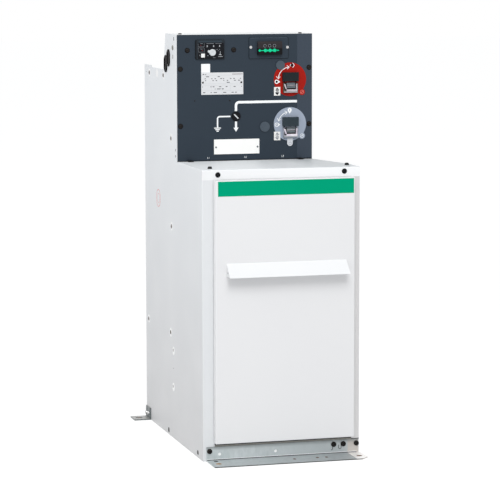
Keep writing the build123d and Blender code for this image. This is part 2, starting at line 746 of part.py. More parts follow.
def label_plate():
    left = LEFT_X + LABEL_PLATE_X
    bottom = DECK_HEIGHT + LABEL_PLATE_RISE
    return forward_plate(
        (left, left + LABEL_PLATE_WIDTH), (bottom, bottom + LABEL_PLATE_HEIGHT), FASCIA_Y, PLATE_THICKNESS
    )


def mode_plates():
    pieces = []
    for disc_z in (earth_z, switch_z):
        pieces.append(
            forward_plate(
                about(operation_x - MODE_PLATE_LEFT_OF_DISC, MODE_PLATE_WIDTH),
                about(disc_z - MODE_PLATE_BELOW_DISC, MODE_PLATE_HEIGHT),
                FASCIA_Y,
                MODE_PLATE_THICKNESS,
            )
        )
    return together(pieces)


def fascia_screws():
    left = LEFT_X + FASCIA_SCREW_INSET
    right = CONTROL_RIGHT_X - FASCIA_SCREW_INSET
    upper = TOTAL_HEIGHT - FASCIA_SCREW_DROP
    lower = DECK_HEIGHT + FASCIA_SCREW_RISE
    places = [(left, upper), (left, lower), (right, upper), (right, lower)]
    for x in about(relay_x + RELAY_SCREW_SHIFT, RELAY_SCREW_SPACING):
        places.append((x, relay_z - RELAY_SCREW_BELOW))
    screws = [forward_disc(x, FASCIA_Y, z, FASCIA_SCREW_RADIUS, FASCIA_SCREW_HEIGHT) for x, z in places]
    return together(screws)


# Cover of the cable compartment

def cable_cover():
    x_range = (COVER_LEFT_X, COVER_RIGHT_X)
    z_range = (COVER_BOTTOM_HEIGHT, COVER_TOP_HEIGHT)
    cover = block(x_range, (COVER_FACE_Y, COVER_BACK_Y), z_range)
    cover = fillet(cover.edges().group_by(Axis.Y)[0], COVER_CORNER_RADIUS)
    return cover - block(
        (COVER_LEFT_X + SHEET, COVER_RIGHT_X - SHEET),
        (COVER_FACE_Y + SHEET, COVER_BACK_Y),
        (COVER_BOTTOM_HEIGHT + SHEET, COVER_TOP_HEIGHT - SHEET),
    )


def cover_hooks():
    hooks = []
    leg_front = FRONT_Y + SHEET + HOOK_CLEARANCE
    for side in (-1, 1):
        slot_x = hook_slot_x(side)
        x_range = (slot_x[0] + HOOK_CLEARANCE, slot_x[1] - HOOK_CLEARANCE)
        for height in hook_heights():
            top = height + HOOK_NECK_HEIGHT
            neck = block(x_range, (COVER_FACE_Y + SHEET, leg_front + HOOK_LEG_DEPTH), (height, top))
            hooks.append(
                neck + block(x_range, (leg_front, leg_front + HOOK_LEG_DEPTH), (height - HOOK_DROP, top))
            )
    return together(hooks)


def cover_handle():
    left = COVER_LEFT_X + HANDLE_LEFT_INSET
    bottom = HANDLE_TOP_HEIGHT - HANDLE_DROP
    tip_y = COVER_FACE_Y - HANDLE_REACH
    outer = [
        (COVER_FACE_Y, HANDLE_TOP_HEIGHT),
        (tip_y, bottom),
        (COVER_FACE_Y, bottom),
    ]
    slope = SHEET * (HANDLE_REACH**2 + HANDLE_DROP**2) ** 0.5 / HANDLE_REACH
    hollow = [
        (COVER_FACE_Y, HANDLE_TOP_HEIGHT - slope),
        (tip_y, bottom - slope),
        (COVER_FACE_Y, bottom - slope),
    ]
    body = extrude(Plane.YZ * make_face(Polyline(*outer, close=True)), amount=HANDLE_LENGTH)
    inside = extrude(Plane.YZ * make_face(Polyline(*hollow, close=True)), amount=HANDLE_LENGTH - 2 * SHEET)
    lip = body - Pos(SHEET, 0, 0) * inside
    lip -= drum(
        0, COVER_FACE_Y - HANDLE_HOLE_OUT, bottom + HANDLE_HOLE_RISE, (1, 0, 0), HANDLE_HOLE_RADIUS, HANDLE_LENGTH
    )
    return Pos(left, 0, 0) * lip


# Feet and fixings

def front_foot():
    """Folded foot: an upright web on the jambs and a floor flange that comes forward."""
    left = LEFT_X + FOOT_LEFT_INSET
    right = RIGHT_X + FOOT_OVERHANG
    corner = Plane(origin=(left, FRONT_Y, 0), x_dir=(0, -1, 0), z_dir=(-1, 0, 0))
    foot = extrude(corner * fold(FOOT_DEPTH, FOOT_HEIGHT, FOOT_SHEET), amount=left - right)
    foot -= block(
        (RIGHT_X - FOOT_OVERHANG, right),
        (FRONT_Y - 2 * FOOT_SHEET, FRONT_Y),
        (0, FOOT_HEIGHT),
    )
    front = FRONT_Y - FOOT_DEPTH
    clipped = [(right - FOOT_CORNER_CUT, front), (right, front), (right, front + FOOT_CORNER_CUT)]
    foot -= extrude(make_face(Polyline(*clipped, close=True)), amount=FOOT_SHEET)
    for x in (LEFT_X + FOOT_HOLE_LEFT, RIGHT_X - FOOT_HOLE_RIGHT):
        foot -= drum(x, FRONT_Y - FOOT_HOLE_INSET, 0, (0, 0, 1), FOOT_HOLE_RADIUS, FOOT_SHEET)
    for x in FOOT_FLANGE_HOLES:
        place = (LEFT_X + x, FRONT_Y - FOOT_FLANGE_HOLE_INSET, 0)
        foot -= drum(*place, (0, 0, 1), FOOT_FLANGE_HOLE_RADIUS, FOOT_SHEET)
    for x in FOOT_WEB_HOLES:
        foot -= forward_disc(LEFT_X + x, FRONT_Y, FOOT_WEB_HOLE_HEIGHT, FOOT_WEB_HOLE_RADIUS, FOOT_SHEET)
    return foot


def rear_bracket(side):
    wall_x = LEFT_X if side < 0 else CONTROL_RIGHT_X
    outer_x = wall_x + side * BRACKET_REACH
    y_range = (REAR_Y - BRACKET_LENGTH, REAR_Y)
    bracket = block(tuple(sorted((wall_x, outer_x))), y_range, (0, BRACKET_SHEET))
    bracket += block(
        tuple(sorted((wall_x, wall_x + side * BRACKET_SHEET))), y_range, (0, BRACKET_HEIGHT)
    )
    slot = SlotOverall(BRACKET_SLOT_LENGTH, 2 * BRACKET_SLOT_RADIUS)
    slot_y = REAR_Y - BRACKET_LENGTH / 2
    centre = Pos(wall_x + side * BRACKET_HOLE_OUT, slot_y, 0)
    return bracket - extrude(centre * slot, amount=BRACKET_SHEET)


def rear_beam():
    return block(
        (LEFT_X + BOTTOM_RETURN, CONTROL_RIGHT_X - BOTTOM_RETURN),
        (REAR_Y - 2 * SHEET - BOTTOM_RETURN, REAR_Y - 2 * SHEET),
        (0, SHEET),
    )


def front_beam():
    """Folded cross member behind the jambs, at the height of the gap under the cover."""
    left = LEFT_X + SHEET + 2 * BEND_RADIUS
    right = RIGHT_X - SHEET - 2 * BEND_RADIUS
    corner = Plane(origin=(left, FRONT_Y + SHEET, FRONT_BEAM_RISE), x_dir=(0, 1, 0), z_dir=(1, 0, 0))
    return extrude(corner * fold(FOLD_LEG, FRONT_BEAM_HEIGHT), amount=right - left)


def foot_bolts():
    right = RIGHT_X - FOOT_BOLT_RIGHT
    middle = right - FOOT_BOLT_SPACING
    places = (LEFT_X + FOOT_BOLT_LEFT, middle - FOOT_BOLT_INNER_SPACING, middle, right)
    face = FRONT_Y - FOOT_SHEET
    return together(forward_disc(x, face, FOOT_BOLT_HEIGHT, FOOT_BOLT_RADIUS, FOOT_BOLT_HEAD) for x in places)


def grommets():
    pieces = []
    for behind, below in GROMMET_PLACES:
        pieces.append(
            drum(LEFT_X, FASCIA_Y + behind, TOTAL_HEIGHT - below, (-1, 0, 0), GROMMET_RADIUS, GROMMET_HEIGHT)
        )
    return together(pieces)


NODES = {
    "side_panel_left": side_panel_left,
    "side_panel_right": side_panel_right,
    "upper_side_right": upper_side_right,
    "deck_plate": deck_plate,
    "side_ledge": side_ledge,
    "rear_panel": rear_panel,
    "rear_beam": rear_beam,
    "front_beam": front_beam,
    "gas_tank": gas_tank,
    "top_cover": top_cover,
    "control_rear_cover": control_rear_cover,
    "control_fascia": control_fascia,
    "relay_module": relay_module,
    "relay_dial": relay_dial,
    "relay_button": relay_button,
    "voltage_plate": voltage_plate,
    "voltage_module": voltage_module,
    "voltage_strip": voltage_strip,
    "earth_disc": lambda: operation_disc(earth_z),
    "switch_disc": lambda: operation_disc(switch_z),
    "earth_shutter": lambda: shutter(earth_z),
    "switch_shutter": lambda: shutter(switch_z),
    "earth_hasp": lambda: hasp(earth_z),
    "switch_hasp": lambda: hasp(switch_z),
    "operating_shafts": operating_shafts,
    "mechanism_case": mechanism_case,
    "position_indicator": position_indicator,
    "position_bar": position_bar,
    "blank_caps": blank_caps,
    "badges": badges,
    "nameplate": nameplate,
    "label_plate": label_plate,
    "mode_plates": mode_plates,
    "fascia_screws": fascia_screws,
    "cable_cover": cable_cover,
    "cover_hooks": cover_hooks,
    "cover_handle": cover_handle,
    "front_foot": front_foot,
    "rear_bracket_left": lambda: rear_bracket(-1),
    "rear_bracket_right": lambda: rear_bracket(1),
    "foot_bolts": foot_bolts,
    "grommets": grommets,
}

if __name__ == "__main__":
    os.makedirs("parts", exist_ok=True)
    for name, build in NODES.items():
        export_step(build(), f"parts/{name}.step")
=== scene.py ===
import math

import bmesh
import bpy
from mathutils import Matrix, Vector


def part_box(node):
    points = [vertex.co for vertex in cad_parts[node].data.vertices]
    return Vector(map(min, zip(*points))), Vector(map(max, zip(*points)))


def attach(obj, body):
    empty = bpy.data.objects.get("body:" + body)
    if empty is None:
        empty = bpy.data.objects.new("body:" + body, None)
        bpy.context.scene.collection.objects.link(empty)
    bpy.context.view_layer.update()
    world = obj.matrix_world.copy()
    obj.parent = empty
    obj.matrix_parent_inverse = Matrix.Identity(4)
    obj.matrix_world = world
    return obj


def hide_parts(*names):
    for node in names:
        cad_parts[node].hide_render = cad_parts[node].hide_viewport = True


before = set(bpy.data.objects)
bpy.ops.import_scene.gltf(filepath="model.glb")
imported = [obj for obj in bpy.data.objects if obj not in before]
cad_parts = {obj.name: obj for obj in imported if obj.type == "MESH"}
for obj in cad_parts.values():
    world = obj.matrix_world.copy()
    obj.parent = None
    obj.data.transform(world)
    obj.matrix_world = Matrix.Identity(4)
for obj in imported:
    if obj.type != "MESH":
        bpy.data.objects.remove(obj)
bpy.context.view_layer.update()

MM = 0.001

# Planes of the cabinet that the pieces are placed from
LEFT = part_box("side_panel_left")[0][0]
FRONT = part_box("side_panel_left")[0][1]
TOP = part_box("side_panel_left")[1][2]
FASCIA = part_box("control_fascia")[0][1]
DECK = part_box("deck_plate")[1][2]
COVER_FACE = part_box("cable_cover")[0][1]

TOWARD_VIEWER = Vector((0, -1, 0))
UPWARD = Vector((0, 0, 1))
LEFTWARD = Vector((-1, 0, 0))

# Thickness of the foot's sheet and of a print, in mm
FOOT_SHEET = 2.5
PRINT_THICKNESS = 0.15


# Nodes and materials

NOISE_RANGE = (0.3, 0.7)


def colour(*levels):
    """Display levels from 0 to 255 as a linear colour."""
    shares = [level / 255 for level in levels]
    linear = [s / 12.92 if s <= 0.04045 else ((s + 0.055) / 1.055) ** 2.4 for s in shares]
    return (*linear, 1)


def add_node(tree, kind, values=None, sources=None):
    """A shader node with some inputs set and others linked to the outputs given."""
    node = tree.nodes.new("ShaderNode" + kind)
    for label, value in (values or {}).items():
        node.inputs[label].default_value = value
    for label, source in (sources or {}).items():
        tree.links.new(source, node.inputs[label])
    return node


def add_math(tree, operation, first, second):
    node = add_node(tree, "Math", {}, {0: first, 1: second})
    node.operation = operation
    return node.outputs["Value"]


class Shade:
    """A node material under construction: a Principled shader with noise-driven detail."""

    def __init__(self, name, base, roughness, metallic=0):
        self.material = bpy.data.materials.new(name)
        self.material.use_nodes = True
        self.tree = self.material.node_tree
        self.inputs = self.tree.nodes["Principled BSDF"].inputs
        self.inputs["Base Color"].default_value = colour(*base)
        self.inputs["Roughness"].default_value = roughness
        self.inputs["Metallic"].default_value = metallic
        self.coordinates = add_node(self.tree, "TexCoord").outputs["Object"]
        self.height = None

    def noise(self, scale, detail=2, stretch=None):
        """Cloudy noise, with its coordinates scaled by axis for brushed or streaked detail."""
        vector = self.coordinates
        if stretch:
            vector = add_node(self.tree, "Mapping", {"Scale": stretch}, {"Vector": vector}).outputs["Vector"]
        texture = add_node(self.tree, "TexNoise", {"Scale": scale, "Detail": detail}, {"Vector": vector})
        return texture.outputs["Fac"]

    def cells(self, scale):
        texture = add_node(self.tree, "TexVoronoi", {"Scale": scale}, {"Vector": self.coordinates})
        return texture.outputs["Color"]

    def spread(self, source, limits, low=0, high=1):
        """The source mapped from its two limits to low and high."""
        values = {"From Min": limits[0], "From Max": limits[1], "To Min": low, "To Max": high}
        return add_node(self.tree, "MapRange", values, {"Value": source}).outputs["Result"]

    def rough(self, source, low, high):
        self.tree.links.new(self.spread(source, NOISE_RANGE, low, high), self.inputs["Roughness"])
        return self

    def tint(self, source, other, share):
        """Mixes the colour so far towards another one, by up to a share where the source is high."""
        return self.mix_in(self.spread(source, NOISE_RANGE, 0, share), other)

    def mix_in(self, factor, other):
        mix = add_node(self.tree, "Mix")
        mix.data_type = "RGBA"
        before = self.inputs["Base Color"]
        if before.is_linked:
            self.tree.links.new(before.links[0].from_socket, mix.inputs["A"])
        else:
            mix.inputs["A"].default_value = before.default_value
        mix.inputs["B"].default_value = colour(*other)
        self.tree.links.new(factor, mix.inputs["Factor"])
        self.tree.links.new(mix.outputs["Result"], before)
        return self

    def bump(self, source, distance, strength):
        node = add_node(self.tree, "Bump", {"Distance": distance, "Strength": strength}, {"Height": source})
        if self.height:
            self.tree.links.new(self.height, node.inputs["Normal"])
        self.height = node.outputs["Normal"]
        self.tree.links.new(self.height, self.inputs["Normal"])
        return self

    def shine(self, level):
        """Strength of the plain surface reflection, 0.5 being that of common plastics."""
        self.inputs["Specular IOR Level"].default_value = level
        return self

    def part_way(self, vector, axis, limits):
        """0 to 1 as one component of a vector goes from the first limit to the second."""
        split = add_node(self.tree, "SeparateXYZ", {}, {"Vector": vector})
        return self.spread(split.outputs[axis], limits)

    def fade(self, axis, limits, other):
        """Goes over to another colour along an axis of the object, between two places in metres."""
        return self.mix_in(self.part_way(self.coordinates, axis, limits), other)

    def painted_light_facing(self, axis, way, other, across=None):
        """Another colour, as painted light or shade, on the faces that look that way, fading in over a
        stretch of X if one is given.
        """
        normal = add_node(self.tree, "TexCoord").outputs["Normal"]
        factor = self.part_way(normal, axis, (0.5 * way, 0.95 * way))
        if across:
            factor = add_math(self.tree, "MULTIPLY", factor, self.part_way(self.coordinates, "X", across))
        return self.mix_in(factor, other)


def sheet_paint(name, base, darker, roughness):
    """Powder coat: fine orange peel, faint cloudiness in colour and gloss."""
    shade = Shade(name, base, roughness)
    shade.tint(shade.noise(4, 3), darker, 0.35)
    shade.rough(shade.noise(9, 4), roughness - 0.06, roughness + 0.08)
    shade.bump(shade.noise(620, 1), 0.00025, 0.35)
    return shade.bump(shade.noise(2.2, 1), 0.0012, 0.15)


def galvanised_sheet(name, level):
    """Hot-dip zinc: soft spangle, faint runs down the sheet and dull patches."""
    shade = Shade(name, (level, level + 5, level + 7), 0.44, 0.5)
    shade.tint(shade.cells(85), (level + 16, level + 20, level + 22), 0.5)
    shade.tint(shade.noise(26, 5, (4, 4, 1.2)), (level - 34, level - 25, level - 24), 0.5)
    shade.tint(shade.noise(9, 3), (level - 20, level - 8, level - 8), 0.5)
    shade.rough(shade.cells(85), 0.36, 0.52)
    return shade.bump(shade.noise(260, 3), 0.0002, 0.4)


def bright_zinc(name):
    """Passivated zinc plate with a faint rainbow."""
    shade = Shade(name, (168, 168, 172), 0.28, 0.95)
    shade.tint(shade.noise(140, 2), (158, 172, 166), 0.4)
    shade.tint(shade.noise(95, 2), (178, 164, 176), 0.4)
    shade.rough(shade.noise(300, 3), 0.22, 0.36)
    return shade.bump(shade.noise(700, 2), 0.0001, 0.3)


def moulded(name, base, lighter, roughness, grain=900):
    """Moulded plastic or rubber with a fine grain."""
    shade = Shade(name, base, roughness)
    shade.tint(shade.noise(60, 3), lighter, 0.5)
    shade.rough(shade.noise(180, 3), roughness - 0.07, roughness + 0.09)
    return shade.bump(shade.noise(grain, 2), 0.00015, 0.5)


def printed(name, base, other, roughness=0.5):
    """A printed film: almost even, with a faint mottle and fine tooth."""
    shade = Shade(name, base, roughness)
    shade.tint(shade.noise(35, 4), other, 0.35)
    shade.rough(shade.noise(120, 3), roughness - 0.06, roughness + 0.07)
    return shade.bump(shade.noise(1100, 2), 0.00008, 0.4)


def brushed(name, base, darker, roughness, stretch):
    shade = Shade(name, base, roughness, 1)
    shade.tint(shade.noise(60, 4, stretch), darker, 0.5)
    shade.rough(shade.noise(40, 4, stretch), roughness - 0.08, roughness + 0.1)
    return shade.bump(shade.noise(220, 3, stretch), 0.0001, 0.35)


def zinc_in_painted_light(name, base, darker):
    """Dull zinc plate whose colour is painted light: set darker as painted shade where it sits in a recess
    or under an edge, or lighter as a painted highlight where light falls on it.
    """
    shade = Shade(name, base, 0.46, 0.3)
    shade.tint(shade.noise(120, 4), darker, 0.7)
    shade.rough(shade.noise(200, 3), 0.38, 0.56)
    return shade.bump(shade.noise(500, 2), 0.0001, 0.4)


def blackened_steel(name):
    shade = Shade(name, (13, 11, 11), 0.46).shine(0.2)
    shade.tint(shade.noise(240, 3), (40, 33, 30), 0.6)
    shade.rough(shade.noise(320, 3), 0.34, 0.52)
    return shade.bump(shade.noise(900, 2), 0.00015, 0.5)


# Powder-coated sheets

SIDE_PAINT = sheet_paint("side_paint", (239, 242, 245), (234, 237, 241), 0.42)
# Painted shade on the side walls: darker towards the floor, darker on faces that look to the front, and
# darker still on those at the right end.
SIDE_PAINT.fade("Z", (0.9, 0), (212, 212, 213))
SIDE_PAINT.painted_light_facing("Y", -1, (217, 219, 221)).painted_light_facing("Y", -1, (208, 207, 207), (0.2, 0.22))
COVER_PAINT = sheet_paint("cover_paint", (225, 225, 226), (221, 221, 223), 0.44)
# Painted highlight on the faces of the cover that look to the left.
COVER_PAINT.painted_light_facing("X", -1, (237, 237, 238))
# The handle's paint is the cover's white set lighter: a painted highlight on the handle's upward-sloping
# face.
LIT_HANDLE_PAINT = sheet_paint("lit_handle_paint", (232, 233, 234), (228, 229, 231), 0.44)
RAIL_PAINT = sheet_paint("rail_paint", (240, 241, 242), (237, 238, 239), 0.4).shine(0.06)
# Painted light and shade on the rail and deck: darker towards the left, darker on level faces, lighter on
# the level faces of the left half and darker again on those at the right.
RAIL_PAINT.fade("X", (0.1, -0.2), (232, 233, 234)).painted_light_facing("Z", 1, (224, 227, 229))
RAIL_PAINT.painted_light_facing("Z", 1, (236, 239, 241), (0.03, -0.03))
RAIL_PAINT.painted_light_facing("Z", 1, (204, 208, 210), (0.1, 0.15))
LID_PAINT = sheet_paint("lid_paint", (240, 241, 242), (234, 235, 237), 0.4)
FASCIA_PAINT = sheet_paint("fascia_paint", (41, 52, 63), (37, 47, 57), 0.5).shine(0.22)
STRIP_PAINT = sheet_paint("fascia_strip_paint", (48, 59, 72), (44, 54, 67), 0.46).shine(0.35)
# Pure white for painted light: highlights on the side dimples and over the foot's crease, and the light seen
# through the two holes of the foot's web.
PAINTED_LIGHT_WHITE = sheet_paint("painted_light_white", (255, 255, 255), (253, 253, 254), 0.3)

# Zinc, steel and their fixings

GALVANISED = galvanised_sheet("galvanised_sheet", 216)
# The foot's zinc darkens from its left end towards the right; its right end is warmer and lighter as painted
# reflection, the top of its web is darkened as painted shadow under the cover, and the level faces at its
# right end are near white as a painted highlight.
FOOT_ZINC = galvanised_sheet("foot_sheet", 202).fade("X", (-0.1, 0.19), (177, 183, 185))
FOOT_ZINC.fade("X", (0.2105, 0.2125), (190, 185, 180))
FOOT_ZINC.fade("Z", (0.030, 0.041), (134, 139, 140))
FOOT_ZINC.painted_light_facing("Z", 1, (250, 248, 246), (0.2105, 0.2125))
# The rear brackets' zinc: dark upright faces as painted shade and lighter level faces as painted light.
BRACKET_ZINC = galvanised_sheet("bracket_sheet", 112).painted_light_facing("Z", 1, (176, 176, 174))
ZINC = bright_zinc("bright_zinc_plate")
STAINLESS = brushed("tank_steel", (188, 187, 184), (160, 159, 156), 0.34, (1, 1, 9))
SILVER = brushed("screw_steel", (222, 222, 222), (190, 190, 190), 0.25, (3, 3, 3))
BLACK_STEEL = blackened_steel("blackened_steel")
# Darker zinc: painted shade on the latch plates inside the trays; also the label plate's rivets.
ZINC_DARK = zinc_in_painted_light("zinc_latch", (104, 112, 118), (84, 92, 98))
# The two hasp trays are one zinc: the earth tray darkened as painted shade, the switch tray lighter as
# painted highlight.
ZINC_OLIVE = zinc_in_painted_light("shaded_tray", (92, 88, 78), (66, 64, 56))
ZINC_PALE = zinc_in_painted_light("pale_tray", (176, 178, 188), (120, 122, 132))
# Latch wings, bars and lips: lit copies of one zinc, lighter as painted highlight, the switch latch
# brightest.
LATCH_STEEL = zinc_in_painted_light("latch_steel", (208, 202, 206), (168, 152, 162))
LATCH_BRIGHT = zinc_in_painted_light("latch_bright_steel", (240, 236, 241), (206, 190, 212))
LATCH_LIP = zinc_in_painted_light("latch_lip", (168, 172, 176), (142, 146, 150))
# The front beam darkened as painted shade, as it sits in the shadow under the cover.
BEAM_ZINC = zinc_in_painted_light("shaded_beam", (84, 86, 88), (60, 62, 64))
# Screws in the side wall's dimples, darkened as painted shade of their recesses.
FIXING_GREY = zinc_in_painted_light("wall_fixing", (112, 102, 98), (74, 68, 66))
# Pale dull zinc: the screw near the top of the side wall and a pale opening there, and painted shade in the
# blank dimples and in the gap under the cover.
PALE_FIXING = zinc_in_painted_light("pale_fixing", (150, 148, 142), (124, 122, 116))

# Mouldings, rubber and raw edges

BLACK = moulded("black_moulding", (14, 15, 18), (24, 25, 28), 0.45).shine(0.12)
GLOSS_BLACK = moulded("black_display", (11, 14, 19), (17, 20, 26), 0.3, 1400).shine(0.15)
RUBBER = moulded("black_rubber", (16, 15, 16), (30, 28, 29), 0.55).shine(0.2)
# A grey ring round the lip of each grommet.
RUBBER_GREY_EDGE = moulded("grey_rubber_edge", (96, 92, 96), (120, 116, 120), 0.5)
SHUTTER = moulded("shutter_paint", (24, 30, 33), (31, 37, 40), 0.5).shine(0.15)
WHITE = moulded("white_moulding", (236, 236, 234), (222, 222, 220), 0.38)
GREEN = moulded("green_moulding", (0, 206, 147), (0, 188, 132), 0.4).shine(0.2)
LAMP_RED = moulded("lamp_red", (132, 26, 32), (112, 20, 26), 0.4)
CAP_GREY = moulded("cap_grey", (62, 73, 84), (72, 83, 93), 0.42).shine(0.35)
# Black rings of painted shadow round the fascia screws.
SCREW_SHADOW_BLACK = moulded("screw_shadow_black", (14, 13, 14), (24, 21, 21), 0.6).shine(0.1)
# Black for painted shade: holes, slots, cuts, tray backs and the gap under the cover.
PAINTED_SHADE_BLACK = moulded("painted_shade_black", (12, 12, 13), (20, 20, 21), 0.8)
CORK = moulded("raw_edge", (172, 124, 58), (110, 78, 46), 0.7)
# Brown of raw cut edges; in the rear bracket's slot it is painted shade.
RAW_EDGE_AND_SHADE_BROWN = moulded("raw_edge_and_shade_brown", (112, 84, 66), (84, 62, 50), 0.7)
TONGUE = moulded("pale_tongue", (216, 219, 224), (202, 205, 211), 0.35)
BEZEL = moulded("relay_bezel", (27, 35, 42), (34, 42, 49), 0.45).shine(0.2)
# The relay bezel darker at its left end: painted shadow.
BEZEL.fade("X", (-0.1405, -0.146), (8, 10, 13))
BEZEL_LEDGE = moulded("relay_ledge", (40, 52, 61), (46, 58, 67), 0.45).shine(0.2)
SHUTTER_BLUE = moulded("blue_shutter_paint", (34, 47, 55), (41, 54, 62), 0.42).shine(0.25)
SOCKET_BLACK = moulded("socket_moulding", (12, 12, 14), (20, 20, 22), 0.45).shine(0.12)
# The voltage module lighter on its sloping top: painted highlight.
SOCKET_BLACK.fade("Z", (1.1005, 1.1045), (47, 43, 45))
DIAL_GREY = moulded("dial_moulding", (214, 218, 220), (160, 166, 170), 0.42, 300)
CREASE = moulded("crease_shade", (20, 22, 30), (34, 36, 44), 0.7)
RAW_LIP = moulded("raw_lip", (176, 150, 134), (140, 120, 108), 0.6)

# Printed films

PLATE_WHITE = printed("plate_white", (250, 250, 247), (246, 246, 243)).shine(0.2)
WHITE_PRINT = printed("white_print", (244, 246, 247), (238, 241, 242)).shine(0.3)
GREY_PRINT = printed("grey_print", (138, 142, 148), (118, 122, 128))
LABEL_PRINT = printed("label_print", (217, 218, 220), (210, 211, 214), 0.42).shine(0.2)
PALE_DASH = printed("pale_dash_print", (56, 58, 64), (86, 88, 94))
INK = printed("ink_print", (14, 17, 24), (24, 28, 34)).shine(0.1)
RED_PRINT = printed("red_print", (162, 21, 8), (150, 18, 8), 0.5).shine(0.15)
VIOLET_PRINT = printed("violet_grey_print", (156, 166, 182), (146, 156, 172), 0.5).shine(0.2)
GREEN_PRINT = printed("green_band_print", (0, 155, 115), (0, 150, 111), 0.5).shine(0.02)
BADGE_PRINT = printed("badge_print", (232, 128, 118), (222, 112, 104))
DULL_RED = printed("dull_red_print", (112, 96, 100), (104, 90, 94))
STICKER_RED = printed("sticker_print", (226, 92, 84), (220, 104, 96))
# Dark edge of the voltage plate: painted shade.
PLATE_EDGE_SHADE = printed("plate_edge_shade_print", (20, 26, 32), (26, 32, 38)).shine(0.1)
PALE_RULE = printed("pale_rule_print", (186, 189, 192), (176, 179, 182))
RING_GREY = printed("ring_print", (136, 140, 146), (112, 116, 122))
SOFT_WHITE = printed("soft_white_print", (176, 180, 184), (150, 154, 158))
EDGE_LIGHT = printed("edge_light_print", (84, 98, 110), (74, 88, 100)).shine(0.2)


# CAD nodes and what they wear
NODE_SHADES = (
    (SIDE_PAINT, "side_panel_left side_panel_right upper_side_right rear_panel"),
    (COVER_PAINT, "cable_cover"),
    (LIT_HANDLE_PAINT, "cover_handle"),
    (RAIL_PAINT, "deck_plate side_ledge"),
    (LID_PAINT, "top_cover control_rear_cover"),
    (FOOT_ZINC, "front_foot"),
    (BRACKET_ZINC, "rear_bracket_left rear_bracket_right"),
    (GALVANISED, "rear_beam cover_hooks"),
    (STAINLESS, "gas_tank"),
    (FASCIA_PAINT, "control_fascia voltage_plate"),
    (CAP_GREY, "blank_caps"),
    (SHUTTER, "earth_shutter"),
    (SHUTTER_BLUE, "switch_shutter"),
    (ZINC, "mechanism_case"),
    (ZINC_OLIVE, "earth_hasp"),
    (ZINC_PALE, "switch_hasp"),
    (BEAM_ZINC, "front_beam"),
    (SILVER, "operating_shafts"),
    (GLOSS_BLACK, "relay_module"),
    (SOCKET_BLACK, "voltage_module"),
    (BLACK, "position_indicator"),
    (WHITE, "relay_dial relay_button mode_plates position_bar"),
    (LABEL_PRINT, "nameplate"),
    (PLATE_WHITE, "label_plate"),
    (RED_PRINT, "earth_disc badges"),
    (VIOLET_PRINT, "switch_disc"),
    (GREEN, "voltage_strip"),
    (BLACK_STEEL, "fascia_screws foot_bolts"),
    (RUBBER, "grommets"),
)


def dress_nodes():
    """Gives CAD nodes their material in every slot."""
    for shade, names in NODE_SHADES:
        for name in names.split():
            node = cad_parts[name]
            if not node.data.materials:
                node.data.materials.append(shade.material)
            for slot in node.material_slots:
                slot.material = shade.material


# Building pieces

def placed(name, data):
    """A new object of the scene with that data."""
    thing = bpy.data.objects.new(name, data)
    bpy.context.scene.collection.objects.link(thing)
    return thing


def riding_piece(name, mesh, shade, body):
    piece = placed(name, mesh)
    mesh.materials.clear()
    mesh.materials.append(shade.material)
    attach(piece, body)
    return piece


def finish_piece(mesh_builder, name, shade, body="cabinet", smooth_angle=35):
    """Turns a bmesh into a named piece that rides on a body."""
    bmesh.ops.recalc_face_normals(mesh_builder, faces=mesh_builder.faces)
    mesh = bpy.data.meshes.new(name)
    mesh_builder.to_mesh(mesh)
    mesh_builder.free()
    mesh.shade_smooth()
    mesh.set_sharp_from_angle(angle=math.radians(smooth_angle))
    return riding_piece(name, mesh, shade, body)


def basis(origin, axis, upright=None):
    """A matrix whose z is the axis and whose y is as upright as it can be."""
    z = Vector(axis).normalized()
    guide = Vector(upright) if upright else (UPWARD if abs(z.z) < 0.9 else Vector((0, 1, 0)))
    x = guide.cross(z).normalized()
    y = z.cross(x)
    turn = Matrix((x, y, z)).transposed().to_4x4()
    return Matrix.Translation(origin) @ turn


def join_rings(builder, rings):
    """Adds the walls between each ring of corners and the next. A ring may be a single corner."""
    for lower, upper in zip(rings, rings[1:]):
        count = max(len(lower), len(upper))
        for step in range(count):
            following = (step + 1) % count
            corners = [lower[step % len(lower)], lower[following % len(lower)]]
            corners += [upper[following % len(upper)], upper[step % len(upper)]]
            unique = list(dict.fromkeys(corners))
            if len(unique) > 2:
                builder.faces.new(unique)


def flat_ring(builder, place, outline, height):
    """New corners along an outline in mm."""
    return [builder.verts.new(place @ Vector((x * MM, y * MM, height * MM))) for x, y in outline]


def turned(builder, place, profile, segments=36):
    """Adds a turned form. A profile row is radius, height and, for a polygon, its sides, in mm."""
    rings = []
    for radius, height, *sides in profile:
        outline = circle(radius, segments, *sides) if radius else [(0, 0)]
        rings.append(flat_ring(builder, place, outline, height))
    join_rings(builder, rings)


def extruded(builder, place, outline, low, high, edge=0):
    """Adds a flat plate from an outline in mm, with its front edge eased by the edge size."""
    rings = [flat_ring(builder, place, outline, low), flat_ring(builder, place, outline, high - edge)]
    if edge:
        rings.append(flat_ring(builder, place, shrunk(outline, edge), high))
    join_rings(builder, rings)
    builder.faces.new(rings[-1])
    builder.faces.new(list(reversed(rings[0])))


def framed(builder, place, outer, inner, low, high):
    """Adds a flat frame between two outlines of equal length."""
    edges = ((outer, low), (outer, high), (inner, high), (inner, low))
    rings = [flat_ring(builder, place, outline, height) for outline, height in edges]
    join_rings(builder, rings + rings[:1])


